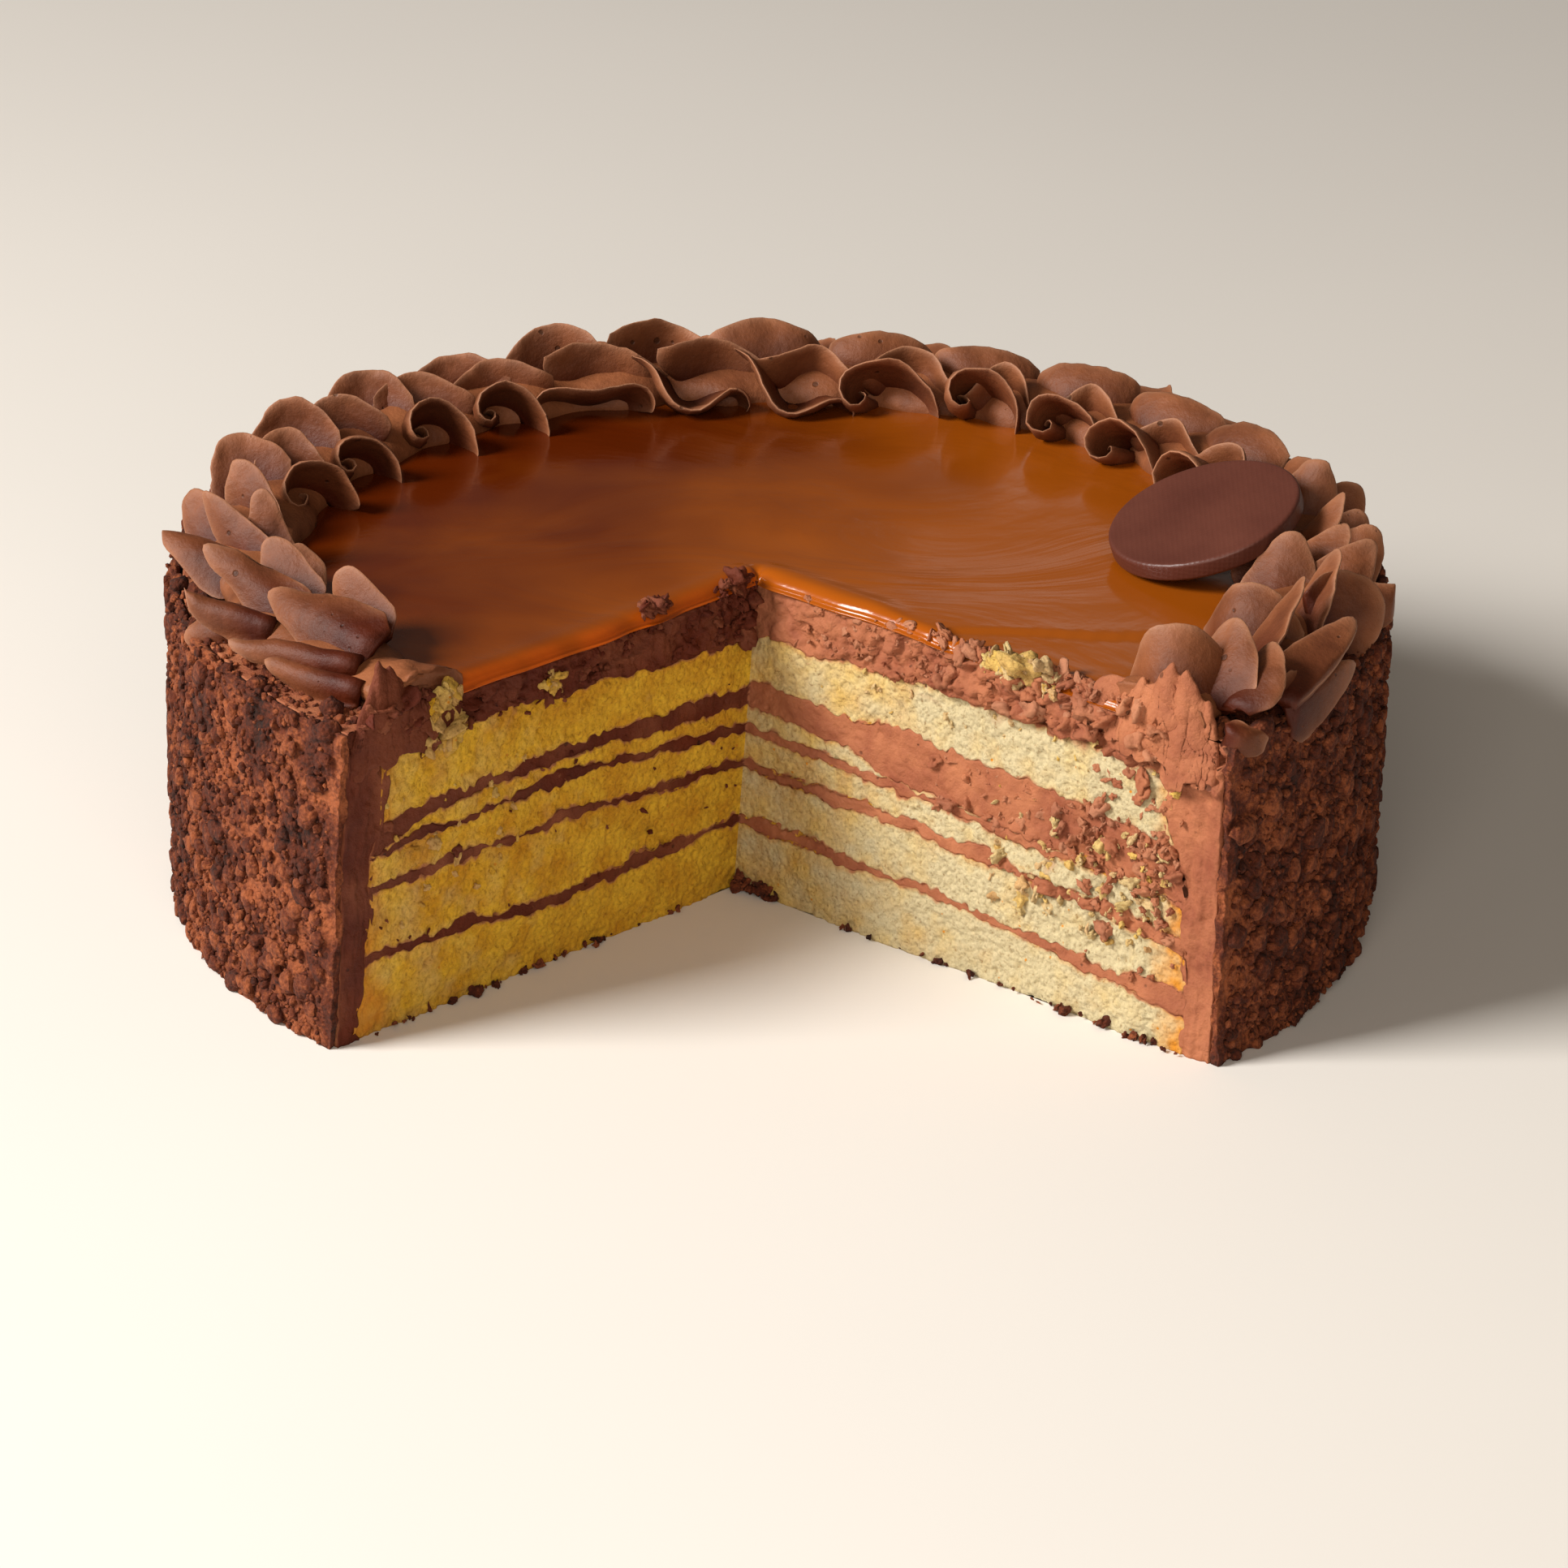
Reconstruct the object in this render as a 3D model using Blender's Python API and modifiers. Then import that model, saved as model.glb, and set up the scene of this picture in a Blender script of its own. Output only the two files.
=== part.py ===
"""Dobos torte: a round layered sponge and chocolate buttercream cake with one slice taken out.

Lengths are in millimetres and become metres where a mesh is made. +Z is up, the origin is the
centre of the cake's flat bottom, and the cut opening faces -Y. Angles run counter-clockwise from +X.

Every cake layer is a plan sector from the point of the cut, APEX, out to a wall. A point of it has a
sweep from 0 (right cut face) to 1 (left cut face), a reach in millimetres from the point of the cut
towards the rim, and a height. Layers share the same sweeps and reaches, so they never cross.
"""

import math
import random

import bmesh
import bpy
import numpy as np
from mathutils import Vector, noise

MM = 0.001

# Driving dimensions of the whole cake.
RIM_RADIUS = 126.0
CAKE_HEIGHT = 71.0
CARAMEL_THICKNESS = 2.8
COAT_THICKNESS = 7.7
CRUMB_THICKNESS = 3.2
GAP = 0.3
WELD = 0.002

# The slice that is missing. The knife leaned a little, so the cut shifts towards +X as it rises.
RIGHT_CUT = -45.0
LEFT_CUT = 226.6
LEFT_CUT_LEAN = 1.9
APEX = (-8.0, -8.6)
APEX_LEAN = 3.5

# Layers, bottom to top, as thicknesses at five stations along the two cut faces:
# left rim, left middle, point of the cut, right middle, right rim.
LAYERS = (
    ("sponge_1", (17.3, 12.0, 14.5, 14.0, 9.0)),
    ("cream_1", (1.5, 2.1, 2.2, 2.2, 4.0)),
    ("sponge_2", (12.9, 15.8, 9.8, 11.8, 9.5)),
    ("cream_2", (2.1, 1.6, 2.2, 2.5, 3.5)),
    ("sponge_3", (6.3, 6.8, 6.4, 5.0, 6.0)),
    ("cream_3", (1.8, 1.9, 2.2, 2.2, 1.8)),
    ("sponge_4", (3.3, 3.7, 3.7, 1.9, 1.7)),
    ("cream_4", (2.3, 2.0, 5.2, 11.0, 10.5)),
    ("sponge_5", (16.3, 11.3, 9.4, 12.5, 15.0)),
    ("top_cream", (9.5, 11.0, 15.3, 12.5, 14.0)),
)
LAYER_WAVE = 0.7
CARAMEL_WAVE = 0.25
REACHES = (0.0, 30.0, 58.0, 84.0, 104.0)
SWEEP_STEPS = 14

# Crumb relief on the side.
CRUMB_CUTS = 5
CRUMB_ROWS = 2
CRUMB_RELIEF = 2.6
CRUMB_CALM_HEIGHT = 55.0
CRUMB_SIZE = 7.0
CRUMB_SUNK = 1.2
CRUMB_CALM_SHARE = 0.25

# Piped border: a rope of buttercream with three tiers of petals for each squeeze of the bag.
ROPE_HEIGHT = 71.0
ROPE_HALF_HEIGHT = 6.0
SQUEEZES = 21
PETAL_THICKNESS = 1.75
PETAL_SEED = 14
LEAN_JITTER = 6.0
TURN_JITTER = 8.0
FIRST_SHARE = 0.15
SHIFT_SHARE = 0.7

# Chocolate disc, one edge down on the caramel and the other up on the piping.
DISC_RADIUS = 20.3
DISC_THICKNESS = 4.0
DISC_CENTRE = (87.0, 2.8)
DISC_TILT = 19.5
DISC_RISES_TOWARDS = 22.0
DISC_SHARE = 11.0
DISC_SIDES = 40
DISC_EDGE = 0.4

# Cutters that shape the border: they reach past what they cut.
CUTTER_MARGIN = 3.0
CUTTER_FLOOR = 20.0
CUTTER_STEPS = 96
CRUMB_BULGE = 0.6
WEDGE_REACH = 200.0
WEDGE_HEIGHTS = (30.0, 120.0)

WALL_RADIUS = RIM_RADIUS - CRUMB_THICKNESS - GAP
SPONGE_RADIUS = WALL_RADIUS - COAT_THICKNESS - GAP
CARAMEL_RADIUS = REACHES[-1]
COAT_TOP = CAKE_HEIGHT - CARAMEL_THICKNESS - GAP

STATIONS = (0.0, 0.5, 1.0)


def clear_scene():
    """Starts from an empty scene."""
    for thing in list(bpy.data.objects):
        bpy.data.objects.remove(thing, do_unlink=True)


def collection(name):
    """A new collection of the scene."""
    made = bpy.data.collections.new(name)
    bpy.context.scene.collection.children.link(made)
    return made


def srgb(hex_colour):
    """Linear colour of an sRGB hex value."""
    levels = [int(hex_colour[i : i + 2], 16) / 255 for i in (0, 2, 4)]
    return tuple(c / 12.92 if c <= 0.04045 else ((c + 0.055) / 1.055) ** 2.4 for c in levels) + (1.0,)


def finish(name, hex_colour, roughness):
    """A plain surface of that colour and roughness."""
    made = bpy.data.materials.new(name)
    made.use_nodes = True
    shader = made.node_tree.nodes["Principled BSDF"]
    shader.inputs["Base Color"].default_value = srgb(hex_colour)
    shader.inputs["Roughness"].default_value = roughness
    shader.inputs["Metallic"].default_value = 0.0
    return made


def add_object(name, bm, material, home):
    """An object from a bmesh, with its faces pointing outwards."""
    bmesh.ops.recalc_face_normals(bm, faces=bm.faces)
    if bm.calc_volume(signed=True) < 0:
        bmesh.ops.reverse_faces(bm, faces=bm.faces)
    mesh = bpy.data.meshes.new(name)
    bm.to_mesh(mesh)
    bm.free()
    made = bpy.data.objects.new(name, mesh)
    if material is not None:
        mesh.materials.append(material)
    home.objects.link(made)
    return made


def apex(height):
    """The point of the cut at a height."""
    return np.array([APEX[0] + APEX_LEAN * height / CAKE_HEIGHT, APEX[1]])


def cut_angle(sweep, height):
    """Angle of a sweep at a height, in radians."""
    left = LEFT_CUT + LEFT_CUT_LEAN * height / CAKE_HEIGHT
    return math.radians(RIGHT_CUT + sweep * (left - RIGHT_CUT))


def place(sweep, reach, height):
    """World point, in metres, of a sweep, a reach and a height."""
    angle = cut_angle(sweep, height)
    tip = apex(height)
    rim = RIM_RADIUS * np.array([math.cos(angle), math.sin(angle)])
    x, y = tip + (rim - tip) * reach / RIM_RADIUS
    return (x * MM, y * MM, height * MM)


def face_profile(values, fraction):
    """Curve through the values at the point of the cut, halfway and at the rim."""
    return float(np.interp(fraction, STATIONS, values))


def interface(index, sweep, reach):
    """Height of the underside of layer index. It follows both cut faces and blends between them."""
    fraction = min(reach / SPONGE_RADIUS, 1.0)
    heights = []
    for rim, middle in ((4, 3), (0, 1)):
        total = sum(face_profile((t[2], t[middle], t[rim]), fraction) for _, t in LAYERS)
        below = sum(face_profile((t[2], t[middle], t[rim]), fraction) for _, t in LAYERS[:index])
        heights.append(below / total * CAKE_HEIGHT)
    wave = LAYER_WAVE * math.sin(math.pi * sweep) * math.sin(7.0 * sweep + 1.3 * index) * fraction
    if index == 0 or index == len(LAYERS):
        wave = 0.0
    return heights[0] * (1 - sweep) + heights[1] * sweep + wave


def spin_section(cells):
    """A section of four-sided cells of (reach, mark) points, spun round the Z axis through one radian
    per unit of sweep, with its doubled points on the axis merged."""
    bm = bmesh.new()
    corners = {}
    for cell in cells:
        for point in cell:
            if point not in corners:
                corners[point] = bm.verts.new((point[0], 0.0, point[1]))
    for cell in cells:
        bm.faces.new([corners[point] for point in cell])
    bmesh.ops.spin(
        bm,
        geom=bm.verts[:] + bm.edges[:] + bm.faces[:],
        cent=(0.0, 0.0, 0.0),
        axis=(0.0, 0.0, 1.0),
        dvec=(0.0, 0.0, 0.0),
        angle=1.0,
        steps=SWEEP_STEPS,
        use_merge=False,
        use_duplicate=False,
    )
    bmesh.ops.remove_doubles(bm, verts=bm.verts, dist=1e-4)
    return bm


def sweep_and_reach(vertex):
    """Sweep and reach of a vertex of a spun section."""
    sweep = math.atan2(vertex.co.y, vertex.co.x)
    return min(max(sweep, 0.0), 1.0), math.hypot(vertex.co.x, vertex.co.y)


def strip(reaches, low, high):
    """Cells between two marks, one between each pair of reaches."""
    return [((a, low), (b, low), (b, high), (a, high)) for a, b in zip(reaches, reaches[1:])]


def cake_layer(index, material, home):
    """A sponge or cream layer: the plan sector between two interfaces."""
    name = LAYERS[index][0]
    bm = spin_section(strip(REACHES + (SPONGE_RADIUS,), 0.0, 1.0))
    for vertex in bm.verts:
        sweep, reach = sweep_and_reach(vertex)
        if vertex.co.z < 0.5:
            height = interface(index, sweep, reach) + (GAP / 2 if index else 0.0)
        else:
            height = interface(index + 1, sweep, reach) - GAP / 2
        vertex.co = place(sweep, reach, height)
    return add_object(name, bm, material, home)


def buttercream_coat(material, home):
    """Top cream and side coat in one: an inverted L spun round the sponge.

    Marks: 0 is the floor, 1 the top of the sponge and 2 the top of the cream.
    """
    inner = SPONGE_RADIUS + GAP
    cells = strip(REACHES + (inner,), 1.0, 2.0) + strip((inner, WALL_RADIUS), 1.0, 2.0)
    cells += strip((inner, WALL_RADIUS), 0.0, 0.5) + strip((inner, WALL_RADIUS), 0.5, 1.0)
    top_index = len(LAYERS) - 1
    bm = spin_section(cells)
    for vertex in bm.verts:
        sweep, reach = sweep_and_reach(vertex)
        shelf = interface(top_index, sweep, min(reach, SPONGE_RADIUS)) + GAP / 2
        mark = vertex.co.z
        height = mark * shelf if mark <= 1.0 else COAT_TOP
        vertex.co = place(sweep, reach, height)
    return add_object("buttercream_coat", bm, material, home)


def caramel_top(material, home):
    """Caramel glaze: a thin sector with slow waves on top."""
    bm = spin_section(strip(REACHES, 0.0, 1.0))
    for vertex in bm.verts:
        sweep, reach = sweep_and_reach(vertex)
        wave = CARAMEL_WAVE * (math.sin(9.0 * sweep + reach / 17.0) - 1.0)
        height = CAKE_HEIGHT + wave if vertex.co.z > 0.5 else COAT_TOP + GAP
        vertex.co = place(sweep, reach, height)
    return add_object("caramel_top", bm, material, home)


def crumb_coat(material, home):
    """Cake crumbs pressed on the side: a ring whose outer wall has lumps and hollows by noise."""
    inner = WALL_RADIUS + GAP
    rows = [i / CRUMB_ROWS for i in range(CRUMB_ROWS + 1)]
    cells = [cell for low, high in zip(rows, rows[1:]) for cell in strip((inner, RIM_RADIUS), low, high)]
    bm = spin_section(cells)
    wall = [e for e in bm.edges if all(math.hypot(*v.co.xy) > RIM_RADIUS - 0.01 for v in e.verts)]
    bmesh.ops.subdivide_edges(bm, edges=wall, cuts=CRUMB_CUTS, use_grid_fill=True)
    step_sag = math.cos(0.5 / SWEEP_STEPS)
    for vertex in bm.verts:
        sweep, reach = sweep_and_reach(vertex)
        height = vertex.co.z * COAT_TOP
        if reach > RIM_RADIUS * step_sag - 0.5:
            on_edge = vertex.co.z < 0.001 or vertex.co.z > 0.999 or sweep < 0.001 or sweep > 0.999
            calm = CRUMB_CALM_SHARE if on_edge or height > CRUMB_CALM_HEIGHT else 1.0
            spot = Vector(place(sweep, RIM_RADIUS, height)) / (CRUMB_SIZE * MM)
            reach = RIM_RADIUS - CRUMB_SUNK + calm * CRUMB_RELIEF * noise.noise(spot)
        vertex.co = place(sweep, reach, height)
    return add_object("crumb_coat", bm, material, home)


# Petals of the border, tier by tier, at angles round the cake. Each row is an angle and then root,
# width, length, lean outwards, lean counter-clockwise, turn about the upright, cup, curl, tuck, wave
# and bend, all in millimetres and degrees. Between rows the values blend. Root is how far outside the
# rope the petal starts. Cup is how far the sheet turns across its width, curl and tuck how far its
# counter-clockwise and its clockwise side roll up, wave how far it turns to and fro, and bend how far
# it turns along its length.
OUTER_TIER = (
    (10.0, 1.0, 22.0, 14.0, 8.0, 0.0, 10.0, 60.0, 0.0, 0.0, 0.0, 50.0),
    (25.0, 0.0, 27.0, 14.0, 0.0, 0.0, 20.0, 100.0, 0.0, 0.0, 10.0, 70.0),
    (60.0, 0.0, 28.0, 14.0, -5.0, 0.0, 22.0, 110.0, 0.0, 0.0, 10.0, 70.0),
    (92.0, 0.0, 27.0, 15.0, -5.0, -5.0, 10.0, 100.0, 0.0, 0.0, 20.0, 65.0),
    (102.0, 1.0, 30.0, 14.0, 10.0, -14.0, -10.0, -50.0, 0.0, 0.0, 20.0, -10.0),
    (130.0, 3.0, 24.0, 13.0, 18.0, 5.0, -35.0, -60.0, 0.0, 0.0, 10.0, -10.0),
    (165.0, 4.0, 19.0, 15.0, 25.0, 22.0, -65.0, -60.0, 0.0, 0.0, 10.0, -10.0),
    (178.0, 4.0, 15.0, 16.0, 30.0, 18.0, -70.0, -50.0, 0.0, 0.0, 10.0, 5.0),
)
MIDDLE_TIER = (
    (10.0, -3.0, 20.0, 11.0, -10.0, 0.0, 20.0, 60.0, 0.0, 0.0, 40.0, 10.0),
    (60.0, -5.0, 24.0, 10.0, -25.0, 0.0, 20.0, 30.0, 0.0, 60.0, 60.0, 10.0),
    (90.0, -6.0, 34.0, 12.0, -20.0, -12.0, 5.0, -10.0, 30.0, -60.0, 40.0, 0.0),
    (105.0, -4.0, 31.0, 12.0, -10.0, -14.0, -10.0, -40.0, 0.0, -80.0, 10.0, 0.0),
    (130.0, -2.0, 25.0, 11.0, 5.0, 0.0, -35.0, -60.0, 0.0, -60.0, 10.0, 0.0),
    (165.0, -1.0, 19.0, 14.0, 12.0, 10.0, -62.0, -80.0, 0.0, 0.0, 10.0, 0.0),
    (178.0, -1.0, 16.0, 16.0, 16.0, 10.0, -70.0, -60.0, 0.0, 0.0, 10.0, 5.0),
)
INNER_TIER = (
    (10.0, -7.0, 36.0, 13.0, -60.0, 0.0, 15.0, -190.0, -300.0, 0.0, 0.0, 5.0),
    (60.0, -6.0, 40.0, 15.0, -60.0, 0.0, 20.0, -200.0, -330.0, 0.0, 0.0, 5.0),
    (76.0, -7.0, 38.0, 15.0, -60.0, 0.0, 10.0, -170.0, -300.0, 0.0, 0.0, 5.0),
    (88.0, -9.0, 36.0, 14.0, -66.0, 0.0, 0.0, 20.0, 0.0, 130.0, -60.0, 5.0),
    (112.0, -8.0, 34.0, 13.0, -64.0, 0.0, -10.0, 20.0, 0.0, 150.0, -60.0, 5.0),
    (125.0, -7.0, 36.0, 13.0, -60.0, 0.0, -28.0, -190.0, -330.0, 0.0, 0.0, 5.0),
    (165.0, -6.0, 36.0, 13.0, -60.0, 0.0, -45.0, -200.0, -330.0, 0.0, 0.0, 5.0),
    (178.0, -6.0, 18.0, 13.0, -10.0, 10.0, -70.0, -70.0, 0.0, 0.0, 10.0, 5.0),
)
# Petals that hang over the rim, behind the outer tier.
RIM_TIER = (
    (10.0, 4.0, 20.0, 12.0, 60.0, 0.0, 0.0, 40.0, 0.0, 0.0, 40.0, 10.0),
    (60.0, 6.0, 24.0, 12.0, 62.0, 0.0, 10.0, 40.0, 0.0, 0.0, 50.0, 10.0),
    (100.0, 8.0, 26.0, 12.0, 62.0, 0.0, 0.0, -40.0, 0.0, 0.0, 50.0, 10.0),
    (140.0, 6.0, 22.0, 12.0, 60.0, 0.0, -15.0, -40.0, 0.0, 0.0, 40.0, 10.0),
    (178.0, 4.0, 16.0, 12.0, 60.0, 0.0, -30.0, -40.0, 0.0, 0.0, 30.0, 10.0),
)
# Petals at both ends, placed one by one: root and tip, in millimetres, azimuth and elevation of the
# way its face looks, width, cup, wave and bend.
END_PETALS = (
    # Left end, from the cut backwards.
    ((-80, -78, 71), (-99, -66, 70), -110, 55, 13, 30, 75, 10),
    ((-81, -72, 74), (-107, -61, 73), -110, 55, 13, 20, 70, 0),
    ((-78, -68, 76), (-101, -50, 81), -105, 45, 16, 30, 30, -10),
    ((-94, -50, 74), (-113, -34, 82), -110, 45, 13, 40, 30, 10),
    ((-99, -52, 73), (-119, -45, 75), -100, 60, 14, 20, 75, 10),
    ((-103, -47, 72), (-118, -43, 67), -120, 15, 13, -60, 30, 0),
    ((-79, -58, 72), (-86, -46, 84), -135, 35, 15, 30, 10, 10),
    ((-96, -41, 71), (-101, -29, 83), -105, 20, 16, 50, 10, 10),
    ((-103, -18, 70), (-105, -10, 86), -95, 10, 13, 30, 10, 10),
    ((-103, -22, 72), (-117, -8, 84), -125, 15, 12, 30, 20, 0),
    ((-106, -27, 73), (-126, -15, 78), -95, 60, 13, 30, 40, 0),
    ((-113, -8, 71), (-122, 2, 80), -95, 10, 14, 30, 10, 0),
    ((-100, -30, 70), (-94, -22, 78), -100, 10, 15, 70, 0, 10),
    ((-106, -1, 71), (-112, 8, 86), -110, 5, 14, 50, 10, 0),
    # Right end, from the cut backwards.
    ((79, -76, 70), (77, -64, 81), -110, 40, 31, -110, 20, 30),
    ((79, -80, 68), (78, -75, 80), -120, 10, 8, 20, 60, 0),
    ((84, -84, 68), (84, -80, 79), -120, 10, 8, -40, 60, 0),
    ((86, -86, 70), (97, -85, 67), -120, 30, 9, 40, 60, 0),
    ((84, -76, 71), (90, -64, 85), -130, 20, 18, 50, 20, 10),
    ((88, -79, 72), (98, -67, 79), -150, 25, 17, -110, 0, 20),
    ((98, -76, 73), (113, -50, 81), -110, 30, 15, 50, 10, 0),
    ((99, -76, 70), (114, -55, 72), -85, 10, 15, 40, 40, 0),
    ((93, -60, 73), (103, -45, 87), -155, 10, 14, 40, 0, 0),
    ((92, -48, 71), (95, -38, 81), -125, 40, 26, -70, 20, 20),
    ((104, -42, 72), (111, -32, 88), -150, 0, 13, 40, 0, 0),
    ((106, -40, 74), (121, -32, 77), -125, 0, 21, 80, 20, 0),
    ((111, -31, 71), (126, -23, 74), -95, 0, 17, 50, 50, 0),
    ((99, -24, 71), (104, -12, 82), -110, 35, 16, 50, 30, 20),
    ((98, -15, 71), (101, -4, 84), -100, 15, 15, 40, 0, 10),
    ((108, -24, 72), (120, -13, 82), -95, 30, 14, 40, 20, 10),
    ((106, -18, 72), (114, -9, 85), -125, 10, 14, 50, 0, 0),
    ((105, -8, 72), (114, 2, 87), -140, 0, 12, 30, 10, 0),
    ((112, -9, 72), (122, -2, 81), -95, 15, 15, 50, 20, 0),
    ((106, 12, 72), (112, 20, 88), -110, 0, 16, 60, 40, 10),
    ((112, 14, 72), (120, 22, 81), -90, 10, 14, 40, 20, 0),
    ((111, 2, 71), (120, 8, 80), -95, 10, 14, 40, 20, 0),
)
TIERS_FROM = 12.0
TIERS_TO = 176.0
# For each tier: its rows, the shift in squeezes, and the cells of its grid across and along.
TIERS = (
    ("rim", RIM_TIER, 0.1, (3, 2)),
    ("outer", OUTER_TIER, 0.5, (4, 2)),
    ("middle", MIDDLE_TIER, 0.0, (3, 2)),
    ("inner", INNER_TIER, 0.25, (5, 2)),
)
END_GRID = (3, 2)
ROOT_RISE = 1.0
# The rope under the petals at angles round the cake: its radius and half width.
ROPE = (
    (-45.0, 105.0, 11.0),
    (-38.0, 106.0, 9.0),
    (0.0, 108.0, 10.0),
    (60.0, 104.0, 10.0),
    (90.0, 102.0, 11.0),
    (120.0, 104.0, 10.0),
    (180.0, 108.0, 10.0),
    (222.0, 104.0, 9.0),
    (228.0, 103.0, 10.0),
)
ROPE_SIDES = 6
ROPE_PAST = 0.01
FINE_STEPS = 96


def petal_sheet(shape, grid):
    """Middle surface of one petal, as an array of points across by along.

    Its cross-section is a curve whose direction turns by cup evenly, by curl and tuck faster and
    faster towards its two sides, and to and fro by wave. It fans out from a narrow root, its top edge
    is an arch, and it bends over by bend along its length.
    """
    width, length, cup, curl, tuck, wave, bend = shape
    across, along = grid
    s = np.linspace(0.0, 1.0, FINE_STEPS * across + 1)
    turn = np.radians(cup * (s - 0.5) + curl * s**5 + tuck * (1 - s) ** 5 + wave * np.sin(2 * np.pi * s))
    x, y = np.cumsum(np.cos(turn)) / len(s), np.cumsum(np.sin(turn)) / len(s)
    x, y = ((c - c.mean())[::FINE_STEPS, None] * width for c in (x, y))
    s, v = s[::FINE_STEPS, None], np.linspace(0.0, 1.0, along + 1)[None, :]
    narrow = 0.45 - 0.002 * np.clip(cup, 0.0, 150.0)
    fan = 1.0 - narrow + narrow * np.sin(0.5 * np.pi * np.minimum(1.4 * v, 1.0))
    blunt = 2.6 - 0.4 * np.clip(length / width, 0.0, 2.0)
    arch = 1.0 - np.clip(0.3 + 0.35 * length / width, 0.0, 0.8) * np.abs(2 * s - 1) ** blunt
    rise = v * arch * length
    bent = np.radians(bend if bend else 0.1) / length
    z = np.sin(bent * rise) / bent
    out = (1 - np.cos(bent * rise)) / bent
    return np.stack([x * fan, y * fan + out, z], axis=-1)


def turn_about(axis, degrees):
    """Turning matrix about a unit axis."""
    a = np.radians(degrees)
    cross = np.array([[0, -axis[2], axis[1]], [axis[2], 0, -axis[0]], [-axis[1], axis[0], 0]])
    return np.eye(3) + np.sin(a) * cross + (1 - np.cos(a)) * cross @ cross


def rope_size(angle):
    """Radius and half width of the rope at an angle round the cake, in degrees."""
    table = np.array(ROPE)
    return [float(np.interp(angle, table[:, 0], column)) for column in table[:, 1:].T]


def tier_petals():
    """The petals of the tiers, each as a name and its sheet of points stood on the rope."""
    rng = random.Random(PETAL_SEED)
    step = (LEFT_CUT + LEFT_CUT_LEAN - RIGHT_CUT) / SQUEEZES
    up = np.array([0.0, 0.0, 1.0])
    for squeeze in range(SQUEEZES):
        for name, rows, shift, grid in TIERS:
            angle = RIGHT_CUT + step * (squeeze + FIRST_SHARE + SHIFT_SHARE * shift)
            if not TIERS_FROM < angle < TIERS_TO or under_disc(angle, name):
                continue
            table = np.array(rows)
            root, width, length, out, lean, yaw, *bends = (
                float(np.interp(angle, table[:, 0], column)) for column in table[:, 1:].T)
            out += rng.uniform(-LEAN_JITTER, LEAN_JITTER)
            lean += rng.uniform(-TURN_JITTER, TURN_JITTER)
            a = np.radians(angle)
            outward = np.array([np.cos(a), np.sin(a), 0.0])
            around = np.array([-np.sin(a), np.cos(a), 0.0])
            frame = turn_about(up, yaw) @ turn_about(outward, -lean) @ turn_about(around, out)
            frame = frame @ np.stack([around, outward, up], axis=1)
            base = outward * (rope_size(angle)[0] + root) + up * (ROPE_HEIGHT + ROOT_RISE)
            yield f"{name}_{squeeze}", base + petal_sheet((width, length, *bends), grid) @ frame.T


def end_petals():
    """The petals at both ends, each as a name and its sheet of points. Each stands along the line from
    its root to its tip, and its face looks as nearly its own way as that line lets it."""
    for number, (root, tip, azimuth, elevation, width, cup, wave, bend) in enumerate(END_PETALS):
        base = np.array(root, dtype=float)
        stem = np.array(tip) - base
        length = np.linalg.norm(stem)
        along = stem / length
        level, rise = math.radians(azimuth), math.radians(elevation)
        looks = np.array([
            math.cos(level) * math.cos(rise), math.sin(level) * math.cos(rise), math.sin(rise)])
        face = looks - looks @ along * along
        face /= np.linalg.norm(face)
        frame = np.stack([np.cross(face, along), face, along], axis=1)
        sheet = petal_sheet((width, length, cup, 0.0, 0.0, wave, bend), END_GRID)
        yield f"end_{number}", base + sheet @ frame.T


def under_disc(angle, tier):
    """True for the petals that the chocolate disc pushed flat."""
    middle = math.degrees(math.atan2(DISC_CENTRE[1], DISC_CENTRE[0]))
    return tier == "inner" and abs(angle - middle) < DISC_SHARE


def petal_object(name, sheet, home):
    """A petal: a grid of faces on its sheet, with a wall given by Solidify."""
    across, along = sheet.shape[0] - 1, sheet.shape[1] - 1
    bm = bmesh.new()
    bmesh.ops.create_grid(bm, x_segments=across, y_segments=along, size=0.5)
    for vertex in bm.verts:
        i = round((vertex.co.x + 0.5) * across)
        j = round((vertex.co.y + 0.5) * along)
        vertex.co = sheet[i, j] * MM
    mesh = bpy.data.meshes.new(name)
    bm.to_mesh(mesh)
    bm.free()
    made = bpy.data.objects.new(name, mesh)
    home.objects.link(made)
    wall = made.modifiers.new("wall", "SOLIDIFY")
    wall.thickness = PETAL_THICKNESS * MM
    wall.offset = 0.0
    return made


def rope(material, home):
    """The rope under the petals: a tube along the border, fatter at each squeeze. It runs past both
    cuts by ROPE_PAST of the sweep, for the knife to trim."""
    bm = bmesh.new()
    bmesh.ops.create_circle(bm, cap_ends=True, segments=ROPE_SIDES, radius=1.0)
    for vertex in bm.verts:
        across, up = vertex.co.x, vertex.co.y
        vertex.co = (RIM_RADIUS + across, 0.0, ROPE_HEIGHT + ROPE_HALF_HEIGHT * up)
    bmesh.ops.spin(
        bm,
        geom=bm.verts[:] + bm.edges[:] + bm.faces[:],
        cent=(0.0, 0.0, 0.0),
        axis=(0.0, 0.0, 1.0),
        dvec=(0.0, 0.0, 0.0),
        angle=1.0,
        steps=2 * SQUEEZES,
        use_merge=False,
        use_duplicate=False,
    )
    for vertex in bm.verts:
        sweep, across = sweep_and_reach(vertex)
        angle = cut_angle((1.0 + 2.0 * ROPE_PAST) * sweep - ROPE_PAST, CAKE_HEIGHT)
        radius, half_width = rope_size(math.degrees(angle))
        swell = 1.0 + 0.1 * math.cos(2 * math.pi * SQUEEZES * sweep)
        reach = radius + half_width * (across - RIM_RADIUS) * swell
        vertex.co = (reach * math.cos(angle) * MM, reach * math.sin(angle) * MM, vertex.co.z * MM)
    return add_object("piped_border", bm, material, home)


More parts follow.
